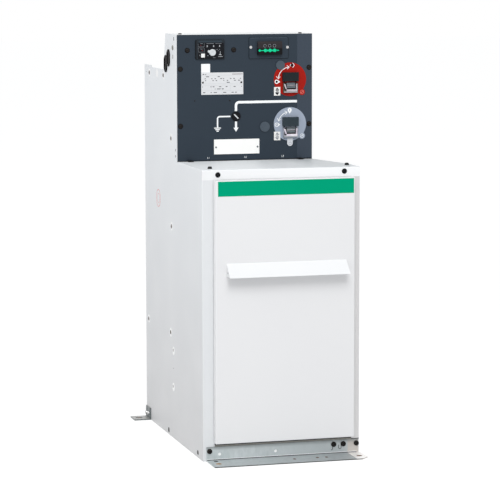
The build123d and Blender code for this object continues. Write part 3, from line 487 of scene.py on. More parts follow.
def shrunk(outline, amount):
    """An outline moved inward by the amount, for small amounts and gentle corners."""
    count = len(outline)
    area = sum(
        outline[i][0] * outline[(i + 1) % count][1] - outline[(i + 1) % count][0] * outline[i][1]
        for i in range(count)
    )
    sign = 1 if area > 0 else -1
    result = []
    for i in range(count):
        before, here, after = (Vector(outline[(i + k) % count]) for k in (-1, 0, 1))
        first = (here - before).normalized()
        second = (after - here).normalized()
        normal = Vector((-first.y - second.y, first.x + second.x)) * sign
        normal.normalize()
        share = max(0.35, Vector((-first.y, first.x)).dot(normal) * sign)
        result.append(tuple(here + normal * amount / share))
    return result


# Outlines in mm

def rectangle(width, height, corner=0, steps=5):
    """Outline of a rectangle round the origin, with rounded corners."""
    if corner == 0:
        w, h = width / 2, height / 2
        return [(-w, -h), (w, -h), (w, h), (-w, h)]
    points = []
    for quarter, (sx, sy) in enumerate(((1, 1), (-1, 1), (-1, -1), (1, -1))):
        for step in range(steps + 1):
            angle = math.pi / 2 * (quarter + step / steps)
            x = sx * (width / 2 - corner) + corner * math.cos(angle)
            y = sy * (height / 2 - corner) + corner * math.sin(angle)
            points.append((x, y))
    return points


def circle(radius, segments=48, sides=0):
    """Points round a circle, or round a polygon where sides is given."""
    points = []
    for step in range(segments):
        angle = 2 * math.pi * step / segments
        reach = radius
        if sides:
            wedge = 2 * math.pi / sides
            reach = radius * math.cos(wedge / 2) / math.cos(angle % wedge - wedge / 2)
        points.append((reach * math.cos(angle), reach * math.sin(angle)))
    return points


def oval(width, height):
    """Outline of an upright slot with round ends."""
    return rectangle(width, height, width / 2 - 0.1, 12)


def polar(radius, angle):
    """The point at that distance from the origin, at an angle in degrees."""
    return (radius * math.cos(math.radians(angle)), radius * math.sin(math.radians(angle)))


def arc(radius, start, end, steps=24):
    """Points along an arc round the origin, between two angles in degrees."""
    return [polar(radius, start + (end - start) * step / steps) for step in range(steps + 1)]


def stroke(points, width):
    """Outline of a line of that width along the points."""
    left = []
    right = []
    for i, point in enumerate(points):
        here = Vector(point)
        before = Vector(points[max(i - 1, 0)])
        after = Vector(points[min(i + 1, len(points) - 1)])
        first = (here - before).normalized() if i else (after - here).normalized()
        second = (after - here).normalized() if i < len(points) - 1 else first
        normal = Vector((-first.y - second.y, first.x + second.x)).normalized()
        share = max(0.5, Vector((-first.y, first.x)).dot(normal))
        offset = normal * width / 2 / share
        left.append(tuple(here + offset))
        right.append(tuple(here - offset))
    return right + left[::-1]


def rounded_path(start, corner, end, radius):
    """A path from start to end with a right-angled corner rounded off."""
    towards = (Vector(start) - Vector(corner)).normalized()
    away = (Vector(end) - Vector(corner)).normalized()
    centre = Vector(corner) + (towards + away) * radius
    points = [start]
    for step in range(9):
        angle = math.pi / 2 * step / 8
        points.append(tuple(centre - away * radius * math.cos(angle) - towards * radius * math.sin(angle)))
    return points + [end]


def moved(outline, x, y, turn=0):
    """An outline turned by an angle in degrees and moved."""
    cosine, sine = polar(1, turn)
    return [(px * cosine - py * sine + x, px * sine + py * cosine + y) for px, py in outline]


def span(x0, x1, z0, z1, corner=0):
    """Outline of a rectangle between two x and two z values."""
    return moved(rectangle(x1 - x0, z1 - z0, corner), (x0 + x1) / 2, (z0 + z1) / 2)


# Places on the cabinet

def on_plane(plane):
    """A rule that gives places on an upright plane: x from the left wall, z above the floor, in mm."""
    def place(x, z, lift=0):
        return basis((LEFT + x * MM, plane - lift * MM, z * MM), TOWARD_VIEWER)

    return place


on_fascia = on_plane(FASCIA)
on_front = on_plane(FRONT)
on_cover = on_plane(COVER_FACE)


def on_side(y, z, lift=0):
    """Place on the left wall: y behind the front plane, z above the floor, lift outward, in mm."""
    return basis((LEFT - lift * MM, FRONT + y * MM, z * MM), LEFTWARD)


def on_top(x, y, height):
    """Place on a level face: x and y in mm, and the height of the face in metres."""
    return basis((LEFT + x * MM, FRONT + y * MM, height), UPWARD)


def spots(place, points, *level):
    """The places at several points of one face."""
    return [place(*point, *level) for point in points]


# Kinds of pieces

def plate_piece(name, shade, place, outline, thickness, edge=0, body="cabinet"):
    builder = bmesh.new()
    extruded(builder, place, outline, 0, thickness, edge)
    return finish_piece(builder, name, shade, body)


def prints_piece(name, shade, marks, thickness=PRINT_THICKNESS, body="cabinet"):
    """Several flat marks as one piece. A mark is a place and an outline."""
    builder = bmesh.new()
    for place, outline in marks:
        extruded(builder, place, outline, 0, thickness)
    return finish_piece(builder, name, shade, body)


def all_on(place, outlines):
    """Marks that share one place."""
    return [(place, outline) for outline in outlines]


def frames_piece(name, shade, frames, thickness):
    """Several flat frames as one piece. A frame is a place, an outer and an inner outline."""
    builder = bmesh.new()
    for place, outer, inner in frames:
        framed(builder, place, outer, inner, 0, thickness)
    return finish_piece(builder, name, shade)


def text_piece(name, words, shade, place, size):
    """Raised lettering of a given capital height in mm."""
    curve = bpy.data.curves.new(name, "FONT")
    curve.body = words
    curve.size = size * MM / 0.7
    curve.align_x = "CENTER"
    curve.align_y = "CENTER"
    curve.extrude = 0.06 * MM
    curve.resolution_u = 3
    holder = placed(name + "_source", curve)
    bpy.context.view_layer.update()
    mesh = bpy.data.meshes.new_from_object(holder)
    bpy.data.objects.remove(holder)
    mesh.transform(place)
    mesh.name = name
    return riding_piece(name, mesh, shade, "cabinet")


# Fasteners

SOCKET_SHARE = 0.45


def domed_screw(builder, place, radius, height):
    """A domed head with a hexagon socket."""
    socket = SOCKET_SHARE * radius
    profile = [
        (radius, 0),
        (radius, 0.35 * height),
        (0.93 * radius, 0.68 * height),
        (0.78 * radius, 0.9 * height),
        (0.6 * radius, height),
        (socket * 1.12, height),
        (socket, 0.94 * height, 6),
        (socket, 0.35 * height, 6),
        (0, 0.25 * height),
    ]
    turned(builder, place, profile)


def slotted_screw(builder, place, radius, height):
    """A pan head crossed by a slot, built as a floor and two cheeks."""
    turned(builder, place, [(radius, 0), (radius, 0.45 * height), (0, 0.45 * height)], 32)
    for side, start in ((1, -82), (-1, 98)):
        cheek = arc(0.98 * radius, start, start + 164, 14)
        outline = [(side * max(0.13 * radius, side * x), y) for x, y in cheek]
        extruded(builder, place, outline, 0.42 * height, height, 0.12 * height)


def domed_plug(builder, place, radius, height):
    profile = [(radius, 0), (radius, 0.5 * height), (0.85 * radius, 0.9 * height), (0, height)]
    turned(builder, place, profile)


def fastener_piece(name, shade, places, radius, height, kind=domed_screw):
    """Several like heads as one piece."""
    builder = bmesh.new()
    for place in places:
        kind(builder, place, radius, height)
    return finish_piece(builder, name, shade, smooth_angle=40)


FASCIA_SCREWS = ((29, 1099), (161.6, 1099), (9, 1047.5), (9, 889.5), (380, 1047.5), (380, 889.5))
FOOT_BOLTS = ((17.6, 28), (369.3, 28), (396.7, 28), (434.2, 28))
RAIL_PLUGS = ((44, 777.8), (398.5, 778.9))
DECK_SCREWS = ((32.5, 41), (421, 49))
LID_SCREWS = ((20, 318), (361, 296))
VOLTAGE_PLATE_SCREWS = ((210.5, 1105.6), (316.4, 1104.6))
LABEL_RIVETS = ((110, 829), (230, 828.5))
NAMEPLATE_RIVETS = ((73.1, 1009.6), (183.2, 1009))
FASCIA_DOTS = ((49.6, 959.2), (150, 958.5))
VOLTAGE_PLATE_LIFT = 1.5
LABEL_LIFT = 0.8


def add_cabinet_fasteners():
    places = spots(on_fascia, FASCIA_SCREWS)
    screws = fastener_piece("fascia_screw_heads", BLACK_STEEL, places, 5.9, 3.5)
    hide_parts("fascia_screws")
    # Black rings round the fascia screws paint their shadow on the fascia.
    screw_shadows = [(place, circle(7.2, 40), circle(5.2, 40)) for place in places]
    frames_piece("fascia_screw_shadows", SCREW_SHADOW_BLACK, screw_shadows, 0.6)
    places = spots(on_front, FOOT_BOLTS, FOOT_SHEET)
    bolts = fastener_piece("foot_bolt_heads", BLACK_STEEL, places, 7.2, 6)
    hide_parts("foot_bolts")
    fastener_piece("rail_plugs", BLACK, spots(on_front, RAIL_PLUGS), 7.2, 1.6, domed_plug)
    fastener_piece("deck_screws", RUBBER, spots(on_top, DECK_SCREWS, DECK), 6, 6)
    fastener_piece("lid_screws", BLACK_STEEL, spots(on_top, LID_SCREWS, TOP), 5.2, 3)


def add_plate_fasteners():
    places = spots(on_fascia, VOLTAGE_PLATE_SCREWS, VOLTAGE_PLATE_LIFT)
    fastener_piece("voltage_plate_screws", SILVER, places, 4, 2, slotted_screw)
    places = spots(on_fascia, LABEL_RIVETS, LABEL_LIFT)
    fastener_piece("label_plate_rivets", ZINC_DARK, places, 2.6, 1, slotted_screw)
    places = spots(on_fascia, NAMEPLATE_RIVETS, LABEL_LIFT)
    fastener_piece("nameplate_rivets", BLACK_STEEL, places, 2.6, 1)
    fastener_piece("fascia_dots", BLACK_STEEL, spots(on_fascia, FASCIA_DOTS), 1.8, 0.5)


# Mimic diagram on the fascia

MIMIC_LIFT = 0.05
MIMIC_TURN_X = 168
MIMIC_BUS_Z = 953.4
MIMIC_BRANCH_Z = 914.3
MIMIC_EARTH_X = 114.9
EARTH_BARS = ((19.4, 882.6), (13, 878.2), (6.5, 874))
PHASES_X = (88.4, 195.5, 303.4)
PHASES_Z = 800
INDICATOR_LIFT = 2
INDICATOR_RIM = ((13, -1.6), (13, 0.5), (12.5, 1), (11.6, 0.9), (11, 0.3), (11, 0))
BAR_TURN = 45
NOTCH_DISTANCE = 7.5


def add_mimic():
    """The bus, the branch to the earth sign, the arrow under the indicator and the phase marks."""
    bus = rounded_path((345, MIMIC_BUS_Z), (MIMIC_TURN_X, MIMIC_BUS_Z), (MIMIC_TURN_X, 928.7), 9)
    corner = (MIMIC_EARTH_X, MIMIC_BRANCH_Z)
    branch = rounded_path((152, MIMIC_BRANCH_Z), corner, (MIMIC_EARTH_X, 884), 6)
    outlines = [stroke(bus, 7), stroke(branch, 4)]
    outlines += [moved(rectangle(width, 2.8), MIMIC_EARTH_X, z) for width, z in EARTH_BARS]
    outlines.append(span(MIMIC_TURN_X - 3, MIMIC_TURN_X + 3, 883, 900))
    outlines.append([(160.5, 883), (MIMIC_TURN_X, 871.3), (175.5, 883)])
    prints_piece("mimic_lines", WHITE_PRINT, all_on(on_fascia(0, 0, MIMIC_LIFT), outlines))
    for number, x in enumerate(PHASES_X, start=1):
        place = on_fascia(x, PHASES_Z, MIMIC_LIFT)
        text_piece(f"phase_mark_{number}", f"L{number}", WHITE_PRINT, place, 5.2)


def add_indicator_rim():
    builder = bmesh.new()
    place = on_fascia(MIMIC_TURN_X, MIMIC_BRANCH_Z, INDICATOR_LIFT)
    turned(builder, place, INDICATOR_RIM, 48)
    for turn in (BAR_TURN + 90, BAR_TURN - 90):
        notch = moved(rectangle(2, 5, 0.8), *polar(NOTCH_DISTANCE, turn), turn)
        extruded(builder, place, notch, 0, 0.5, 0.15)
    finish_piece(builder, "indicator_rim", GLOSS_BLACK, "indicator")
    bar = moved(rectangle(17, 3.3, 0.8), 0, 0, BAR_TURN + 90)
    piece = plate_piece("indicator_bar", DIAL_GREY, place, bar, 0.6, 0.15, "indicator")
    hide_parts("position_bar")


# Operating points. Their marks are placed from the middle of a disc

OPERATION_X = 324.4
EARTH_Z = 1015
SWITCH_Z = 890
DISC_FACE = 1
ARROW_RADIUS = 34.2
ARROW_WIDTH = 2
ARROW_BARB = 8.6
ARROW_SPREAD = 40
BARB_WIDTH = 1.5
PIN_RADIUS = 5.9
PIN_CENTRE_RADIUS = 3.3
PIN_POINT = 10.6
EARTH_PIN = (-38.8, -6.5)
EARTH_DIAMOND = (5.8, 39.1)
SWITCH_OPEN_PIN = (-38.6, -1.5)
SWITCH_FILLED_PIN = (-1, 39)
MODE_X = OPERATION_X - 37.4
MODE_DROP = 33
MODE_LIFT = 1.6


def curved_arrow(start, end):
    """Outlines of an arc with an open arrow head at each end, each head pointing away from the arc."""
    outlines = [stroke(arc(ARROW_RADIUS, start + 2, end - 2, 20), ARROW_WIDTH)]
    for angle, heading in ((start, start - 90), (end, end + 90)):
        tip = Vector(polar(ARROW_RADIUS, angle))
        barbs = [tip - Vector(polar(ARROW_BARB, heading + turn)) for turn in (-ARROW_SPREAD, ARROW_SPREAD)]
        outlines.append(stroke([tuple(barbs[0]), tuple(tip), tuple(barbs[1])], BARB_WIDTH))
    return outlines


def drop(turn):
    """Outline of a round pin with its point at that angle."""
    return arc(PIN_RADIUS, turn + 50, turn + 310, 28) + [polar(PIN_POINT, turn)]


def add_earth_marks():
    """White arrow and left pin, and a dark diamond between two white edges at the top."""
    face = on_fascia(OPERATION_X, EARTH_Z, DISC_FACE)
    outlines = curved_arrow(94, 177)
    outlines.append(moved(drop(0), *EARTH_PIN))
    outlines.append(moved(stroke([(2, 6.6), (6.8, 0), (2, -6.6)], 1.6), *EARTH_DIAMOND))
    outlines.append(moved(stroke([(-3.4, 3), (-5.6, 0), (-3.4, -3)], 1.2), *EARTH_DIAMOND))
    prints_piece("earth_arrow", WHITE_PRINT, all_on(face, outlines))
    lifted = on_fascia(OPERATION_X, EARTH_Z, DISC_FACE + PRINT_THICKNESS)
    diamond = moved([(-4.6, 0), (0, -6.4), (4.6, 0), (0, 6.4)], *EARTH_DIAMOND)
    centres = [(lifted, moved(circle(PIN_CENTRE_RADIUS, 28), *EARTH_PIN)), (face, diamond)]
    prints_piece("earth_pin_centres", INK, centres, 0.1)


def add_switch_marks():
    """White arrow, an open pin on the left and a filled pin with a slit at the top."""
    face = on_fascia(OPERATION_X, SWITCH_Z, DISC_FACE)
    outlines = curved_arrow(104, 165)
    outlines.append(moved(drop(0), *SWITCH_OPEN_PIN))
    outlines.append(moved(drop(270), *SWITCH_FILLED_PIN))
    prints_piece("switch_arrow", WHITE_PRINT, all_on(face, outlines))
    lifted = on_fascia(OPERATION_X, SWITCH_Z, DISC_FACE + PRINT_THICKNESS)
    ring = [moved(circle(radius, 32), *SWITCH_OPEN_PIN) for radius in (4.2, 1.6)]
    frames_piece("switch_pin_ring", VIOLET_PRINT, [(lifted, *ring)], 0.1)
    slit = [(lifted, moved(rectangle(1.6, 5.6, 0.7), *SWITCH_FILLED_PIN))]
    prints_piece("switch_pin_centres", VIOLET_PRINT, slit, 0.1)


def add_mode_marks():
    """On each mode plate, an arrow up and an arrow down with a crooked line between them."""
    symbol = [
        stroke([(-4.6, 2.4), (4.4, 3.6), (-3.6, -3), (4.8, -1.8)], 2.3),
        [(-4.6, 4.8), (4.6, 4.8), (0, 10.4)],
        [(-6, -4.2), (0, -11), (6, -4.2)],
    ]
    for name, shade, disc_z in (("earth", INK, EARTH_Z), ("switch", GREY_PRINT, SWITCH_Z)):
        plate = on_fascia(MODE_X, disc_z - MODE_DROP, MODE_LIFT)
        prints_piece(f"{name}_mode_mark", shade, all_on(plate, symbol))


BADGE_X = OPERATION_X + 34.9
BADGE_DEPTH = 1.4
BADGE_PROFILE = ((9, 0), (9, 1.1), (8.6, BADGE_DEPTH), (0, BADGE_DEPTH))

# Name, height, and the slot and material of a badge, then the material of its prints
BADGES = (
    ("earth", EARTH_Z - 36, "signal_red", RED_PRINT, BADGE_PRINT),
    ("switch", SWITCH_Z - 33.6, "pale_violet_grey", VIOLET_PRINT, WHITE_PRINT),
)


def add_badges():
    """A red and a violet badge in place of the two plain discs, each with a ring printed on it."""
    for name, z, slot_name, shade, _ in BADGES:
        builder = bmesh.new()
        turned(builder, on_fascia(BADGE_X, z), BADGE_PROFILE, 48)
        piece = finish_piece(builder, f"{name}_badge", shade)
        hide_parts("badges")
    for name, z, _, _, shade in BADGES:
        face = on_fascia(BADGE_X, z, BADGE_DEPTH)
        ring = [(face, circle(5.6, 36), circle(4.6, 36))]
        frames_piece(f"{name}_badge_ring", shade, ring, 0.12)
        marks = all_on(face, [moved(rectangle(1, 9.2), 0, 0, -45), moved(rectangle(4.4, 1), 0.6, 0.4)])
        prints_piece(f"{name}_badge_mark", shade, marks, 0.12)


HASP_CENTRE = -23.5
TONGUE_CENTRE = -54
TONGUE_RADIUS = 8
TONGUE_TOP = 14
LATCH_LEFT_WING = ((-20, 10), (-16.2, 11), (-11.2, -3.4), (-14.8, -4.2))


def add_hasp_details():
    """Tongue under the lower hasp and the folded latch inside each tray."""
    curve = arc(TONGUE_RADIUS, 180, 360, 20)
    tongue = [(-TONGUE_RADIUS, TONGUE_TOP), *curve, (TONGUE_RADIUS, TONGUE_TOP)]
    place = on_fascia(OPERATION_X, SWITCH_Z + TONGUE_CENTRE, DISC_FACE)
    plate_piece("hasp_tongue", TONGUE, place, tongue, 0.8, 0.2)
    place = on_fascia(OPERATION_X, SWITCH_Z + TONGUE_CENTRE - 0.5, DISC_FACE + 0.8)
    frames_piece("tongue_ring", GREY_PRINT, [(place, circle(4.2, 32), circle(3.2, 32))], 0.1)
    add_latch("earth", EARTH_Z + HASP_CENTRE, LATCH_STEEL)
    add_latch("switch", SWITCH_Z + HASP_CENTRE, LATCH_BRIGHT)


def add_latch(name, z, steel):
    """Bright sprung wings, the bar and lip under them and the folded plate in the middle. The wings, bar and
    lip are lighter as painted highlight; a light line on the plate paints the highlight of its fold, and
    black marks paint the shade on the tray's back and in the plate's slots.
    """
    builder = bmesh.new()
    inside = on_fascia(OPERATION_X, z, DISC_FACE + 1.8)
    extruded(builder, inside, LATCH_LEFT_WING, 0, 6.9, 0.5)
    extruded(builder, inside, span(16.2, 19, -9, 11.5), 0, 6.9, 0.5)
    extruded(builder, inside, span(-12.4, 19, -10.1, -4.3, 0.8), 0, 7.8, 0.6)
    finish_piece(builder, f"{name}_latch", steel)
    back = [(inside, span(-19, 19, -11.4, 13.2))]
    prints_piece(f"{name}_tray_back_shade", PAINTED_SHADE_BLACK, back, 0.1)
    lip = [(on_fascia(OPERATION_X, z, DISC_FACE + 9), span(-19.6, 19.6, -13.2, -10.3, 0.6))]
    prints_piece(f"{name}_latch_lip", LATCH_LIP, lip, 0.2)
    plate = span(-11, 14, -1, 14.4, 0.8)
    plate_piece(f"{name}_latch_plate", ZINC_DARK, inside, plate, 3.4, 0.5)
    raised = on_fascia(OPERATION_X, z, DISC_FACE + 5.2)
    prints_piece(f"{name}_latch_fold_highlight", steel, [(raised, span(-11, 14, 6.4, 7.4))])
    slots = all_on(raised, [span(-11, 14, 4.8, 6.2), span(-11, 14, -1.6, -0.4)])
    prints_piece(f"{name}_latch_slots", PAINTED_SHADE_BLACK, slots)


# Relay

RELAY_LIFT = 2
BEZEL_DEPTH = 1.1
WINDOW_X = 68.6
WINDOW_HEIGHTS = (1115, 1099.8)
SYMBOLS_X = (85.6, 103.9, 120.9)
SYMBOLS_Z = 1110.2
DIAL_PLACE = (100.2, 1092.6)
DIAL_TURN = 163
RELAY_LAMPS = ((67.4, 1112), (71.4, 1098))

# Marks of the scale beside the dial: x, z and turn
SCALE_MARKS = ((111.2, 1100.2, 60), (114.4, 1101, 120), (117, 1097.6, 40), (120.6, 1101, 110))


def add_relay_frame():
    """The bezel round the relay's face and the ledge at its top."""
    outer = moved(rectangle(83.4, 54.4, 3.7), 93.5, 1100.5)
    inner = moved(rectangle(74.2, 44, 3), 96, 1096.6)
    face = on_fascia(0, 0, RELAY_LIFT)
    frames_piece("relay_bezel", BEZEL, [(face, outer, inner)], BEZEL_DEPTH)
    ledge = moved(rectangle(68, 4.6, 2), 94.5, 1123.2)
    front = on_fascia(0, 0, RELAY_LIFT + BEZEL_DEPTH)
    plate_piece("relay_ledge", BEZEL_LEDGE, front, ledge, 0.4, 0.15)


def add_relay_prints():
    """Two windows, three slanted symbols, faint rules and marks, and a lamp in each window."""
    face = on_fascia(0, 0, RELAY_LIFT)
    sizes = ((17.6, 12.4, 1), (16.6, 11.4, 0.8))
    windows = [(face, *(moved(rectangle(*size), WINDOW_X, z) for size in sizes)) for z in WINDOW_HEIGHTS]
    frames_piece("relay_windows", RING_GREY, windows, PRINT_THICKNESS)
    symbol = [(-1.4, -2.8), (1.6, -1.8), (0.6, 3), (-1.2, 2.6)]
    whites = [moved(symbol, x, SYMBOLS_Z) for x in SYMBOLS_X]
    whites += [span(122.2, 123.2, 1087.6, 1096), span(119.4, 126, 1085.2, 1087.6)]
    whites.append(span(117, 129.8, 1080.5, 1081.7))
    prints_piece("relay_marks", SOFT_WHITE, all_on(face, whites))
    greys = [span(66, 73, z + 2, z + 3) for z in WINDOW_HEIGHTS]
    greys += [span(83.7, 104.5, 1116.9, 1118), span(109.4, 126.5, 1116.9, 1117.8)]
    greys += [moved(rectangle(2.6, 1.2), *mark) for mark in SCALE_MARKS]
    greys += [moved(rectangle(2.4, 2.4), 87.4, 1083.8), moved(rectangle(1.6, 3.6), 64.2, 1085)]
    greys.append(span(102, 109.5, 1077.8, 1078.6))
    prints_piece("relay_faint_marks", RING_GREY, all_on(face, greys), 0.1)
    lamps = all_on(face, [moved(circle(1.1, 24), *lamp) for lamp in RELAY_LAMPS])
    prints_piece("relay_lamps", LAMP_RED, lamps, 0.5)


def add_dial():
    """A round knob with a pointed tab and a raised grip."""
    builder = bmesh.new()
    knob = on_fascia(*DIAL_PLACE, RELAY_LIFT + 0.3)
    turned(builder, knob, [(9.3, 0), (9.3, 3.2), (8.7, 3.9), (5.2, 4), (4.6, 3.6), (0, 3.6)], 48)
    tab = moved(rectangle(10.5, 7, 1.4), *polar(8.6, DIAL_TURN), DIAL_TURN)
    extruded(builder, knob, tab, 0, 3.9, 0.5)
    extruded(builder, knob, moved(rectangle(9, 1.6, 0.6), 0, 0, DIAL_TURN - 45), 3.6, 4.3, 0.2)
    piece = finish_piece(builder, "dial_knob", DIAL_GREY, "dial")
    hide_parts("relay_dial")


# Voltage module

STRIP_Z = 1096.5
MODULE_LIFT = 11.5
SOCKETS = ((248.6, 1109.5), (262.2, 1109.5), (276.4, 1109.5))
VOLTAGE_PLATE = (262.5, 1103)
VOLTAGE_GLINT = (262.5, 1131.6)
STRIP_BULGES_X = (249.6, 263.2, 276.6)
STRIP_END_X = 233.4

# Lengths of the green strip: start, end, half its height and its corner radius
STRIP_LENGTHS = ((231, 247, 1.3, 0.8), (245, 283, 2.2, 1.2), (280, 289, 1.4, 1))


def add_voltage_strip():
    """A green strip in three lengths, with a round end and three bulges."""
    builder = bmesh.new()
    strip = on_fascia(0, 0, MODULE_LIFT)
    for x0, x1, half, corner in STRIP_LENGTHS:
        extruded(builder, strip, span(x0, x1, STRIP_Z - half, STRIP_Z + half, corner), 0, 2, 0.3)
    end = on_fascia(STRIP_END_X, STRIP_Z, MODULE_LIFT)
    turned(builder, end, [(3.4, 0), (3.4, 1.9), (2.9, 2.6), (0, 2.9)], 32)
    for x in STRIP_BULGES_X:
        bulge = on_fascia(x, STRIP_Z, MODULE_LIFT)
        turned(builder, bulge, [(4.8, 0), (4.8, 1.8), (4.3, 2.6), (2.6, 3.2), (0, 3.4)], 40)
    piece = finish_piece(builder, "strip_band", GREEN)
    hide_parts("voltage_strip")


def add_voltage_details():
    rings = [(place, circle(4.4, 36), circle(3.5, 36)) for place in spots(on_fascia, SOCKETS, MODULE_LIFT)]
    frames_piece("voltage_rings", RING_GREY, rings, 0.4)
    add_voltage_strip()
    plate = on_fascia(*VOLTAGE_PLATE, VOLTAGE_PLATE_LIFT)
    # A dark edge round the voltage plate is painted shade, and the light line along its top a painted
    # highlight.
    edges = [(plate, rectangle(115, 60, 4), rectangle(112.8, 57.8, 3))]
    frames_piece("voltage_plate_edge", PLATE_EDGE_SHADE, edges, 0.12)
    glint = [(on_fascia(*VOLTAGE_GLINT, VOLTAGE_PLATE_LIFT), rectangle(106, 1.3))]
    prints_piece("voltage_plate_glint", EDGE_LIGHT, glint, 0.12)


# Nameplate and trim of the fascia

# Rows of plain dashes in place of words: the row's height, then the start and width of each dash
NAMEPLATE_ROWS = (
    (1032, ((72.5, 5), (80, 2.5))),
    (1025.5, ((82, 9), (115.5, 6))),
    (1020, ((78, 3.5), (97, 3.5), (106.5, 3.5), (123, 5), (131, 3), (151, 4), (160, 4.5), (179.5, 3.5))),
    (1014.8, ((79.5, 2.5), (100.5, 3.5), (110, 3.5), (131.5, 2.5), (141.5, 4), (162.5, 5.5), (173.5, 6.5))),
    (1009.4, ((141.5, 8.5),)),
    (997.6, ((71.5, 1.5), (94.5, 3), (101, 5), (119, 6.5), (138.5, 5), (161, 6), (183, 1.8))),
    (991.4, ((107, 2), (113, 11), (127, 6))),
    (981.6, ((73, 7), (95, 3.5), (104, 9), (131, 9), (155, 6.5), (165.5, 5))),
)
DASH_HALF_HEIGHT = 0.95
NAMEPLATE_RULES_Z = (1028.8, 1006.2, 1001.8, 986.6)
NAMEPLATE_RULES_X = (98, 128, 152)
FASCIA_END_X = 388.6
FASCIA_LOW_Z = 793
FASCIA_FEET_X = (34, 352)
FASCIA_STUDS_X = (368, 376, 383)


def add_nameplate_print():
    face = on_fascia(0, 0, LABEL_LIFT)
    dashes = []
    for z, words in NAMEPLATE_ROWS:
        dashes += [span(x, x + width, z - DASH_HALF_HEIGHT, z + DASH_HALF_HEIGHT) for x, width in words]
    rules = [span(70, 187.4, z - 0.2, z + 0.2) for z in NAMEPLATE_RULES_Z]
    rules += [span(x - 0.15, x + 0.15, 977.5, 1001.8) for x in NAMEPLATE_RULES_X]
    prints_piece("nameplate_rules", PALE_RULE, all_on(face, rules), 0.08)
    prints_piece("nameplate_dashes", PALE_DASH, all_on(face, dashes), 0.1)
    heading = [(face, span(157, 187, 1031.3, 1032.9))]
    prints_piece("nameplate_heading", DULL_RED, heading, 0.1)
    square = moved(rectangle(24, 22.8), 81.2, 1049.2)
    plate_piece("plain_square", WHITE_PRINT, face, square, 0.12)


def add_fascia_trim():
    """A paler strip down the right edge, the dark low edge as painted shade, and the small feet under it."""
    strip = span(345.5, FASCIA_END_X, FASCIA_LOW_Z, 1141.6)
    plate_piece("fascia_right_strip", STRIP_PAINT, on_fascia(0, 0), strip, 0.2)
    low_edge = span(0.4, FASCIA_END_X, 791.2, FASCIA_LOW_Z)
    plate_piece("fascia_low_edge", BLACK, on_fascia(0, 0), low_edge, 1.2, 0.4)
    builder = bmesh.new()
    for x in FASCIA_FEET_X:
        extruded(builder, on_fascia(x, 793.1), rectangle(15, 3.6, 1.2), 0, 20, 0.8)
    for x in FASCIA_STUDS_X:
        extruded(builder, on_fascia(x, 792.8), rectangle(3, 3, 0.8), 0, 3, 0.6)
    finish_piece(builder, "fascia_feet", BLACK)


# Left side wall

GROMMETS = ((369, 1075), (402, 1057.5))
GROMMET_DEPTH = 3.7
RECESSED_SCREWS = ((347, 851), (347, 603), (608.5, 1022.6), (436, 1023), (635.7, 299), (362.7, 299.4))
BLANK_DIMPLES = ((512, 1025.8), (331, 251), (333.6, 147))
DIMPLE = ((12.4, 0), (11.6, 0.35), (10.2, 0.55), (8, 0.42), (5.4, 0.15))
DIMPLE_FLOOR = ((3, 0.3), (0, 0.35))
RING_PLACE = (504, 668)


def add_grommets():
    """Upright rubber grommets: a flange, a raised lip and the closed middle behind it."""
    builder = bmesh.new()
    edges = []
    for y, z in GROMMETS:
        place = on_side(y, z)
        framed(builder, place, oval(31, 48), oval(26, 43), 0, 2.4)
        framed(builder, place, oval(27, 44), oval(20, 37), 0, GROMMET_DEPTH)
        extruded(builder, place, oval(20.6, 37.6), 0, 1)
        edges.append((on_side(y, z, GROMMET_DEPTH), oval(22.4, 39.4), oval(20.6, 37.6)))
    piece = finish_piece(builder, "grommet_rings", RUBBER)
    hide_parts("grommets")
    frames_piece("grommet_edges", RUBBER_GREY_EDGE, edges, 0.15)


def add_side_fixings():
    """Recessed screws in pressed dimples, dimples without a screw and one screw near the top. The dimples
    are white as a painted highlight and the recessed screws are darkened as painted shade.
    """
    dimples = bmesh.new()
    recesses = spots(on_side, RECESSED_SCREWS)
    for place in recesses:
        turned(dimples, place, DIMPLE, 40)
    for place in spots(on_side, BLANK_DIMPLES):
        turned(dimples, place, DIMPLE + DIMPLE_FLOOR, 40)
    finish_piece(dimples, "side_dimples", PAINTED_LIGHT_WHITE)
    fastener_piece("side_recessed_screws", FIXING_GREY, recesses, 6, 1.3)
    fastener_piece("side_screws", PALE_FIXING, [on_side(320, 1105)], 7, 2.2)


def add_side_openings():
    # A pale opening near the top of the wall, and grey discs that paint the shade in the two lower blank
    # dimples.
    pale = [(on_side(320, 1080), rectangle(5, 12, 2.4))]
    pale += [(on_side(y + 2.5, z + 1.5), circle(4.2, 28)) for y, z in BLANK_DIMPLES[1:]]
    prints_piece("pale_opening_and_dimple_shade", PALE_FIXING, pale, 0.6)
    # Slots, dots and holes of the side wall drawn as black marks of painted shade.
    openings = [
        (on_side(309, 1130), rectangle(5.5, 11, 2.6)),
        (on_side(295, 822), rectangle(3.6, 7.5, 1.6)),
        (on_side(295, 805), rectangle(3.6, 7.5, 1.6)),
        (on_side(647, 1023.7), circle(1.5, 20)),
        (on_side(332, 201), circle(1.5, 20)),
        (on_side(393, 12.5), circle(7.5, 40)),
        (on_side(56.4, 13), [(x, max(z, -4.5)) for x, z in circle(7.5, 40)]),
    ]
    prints_piece("side_openings", PAINTED_SHADE_BLACK, openings)
    sticker = on_side(*RING_PLACE)
    rings = [(sticker, circle(25, 72), circle(23.6, 72)), (sticker, circle(14, 60), circle(13.2, 60))]
    frames_piece("plain_ring_sticker", STICKER_RED, rings, 0.12)


# Cover and feet

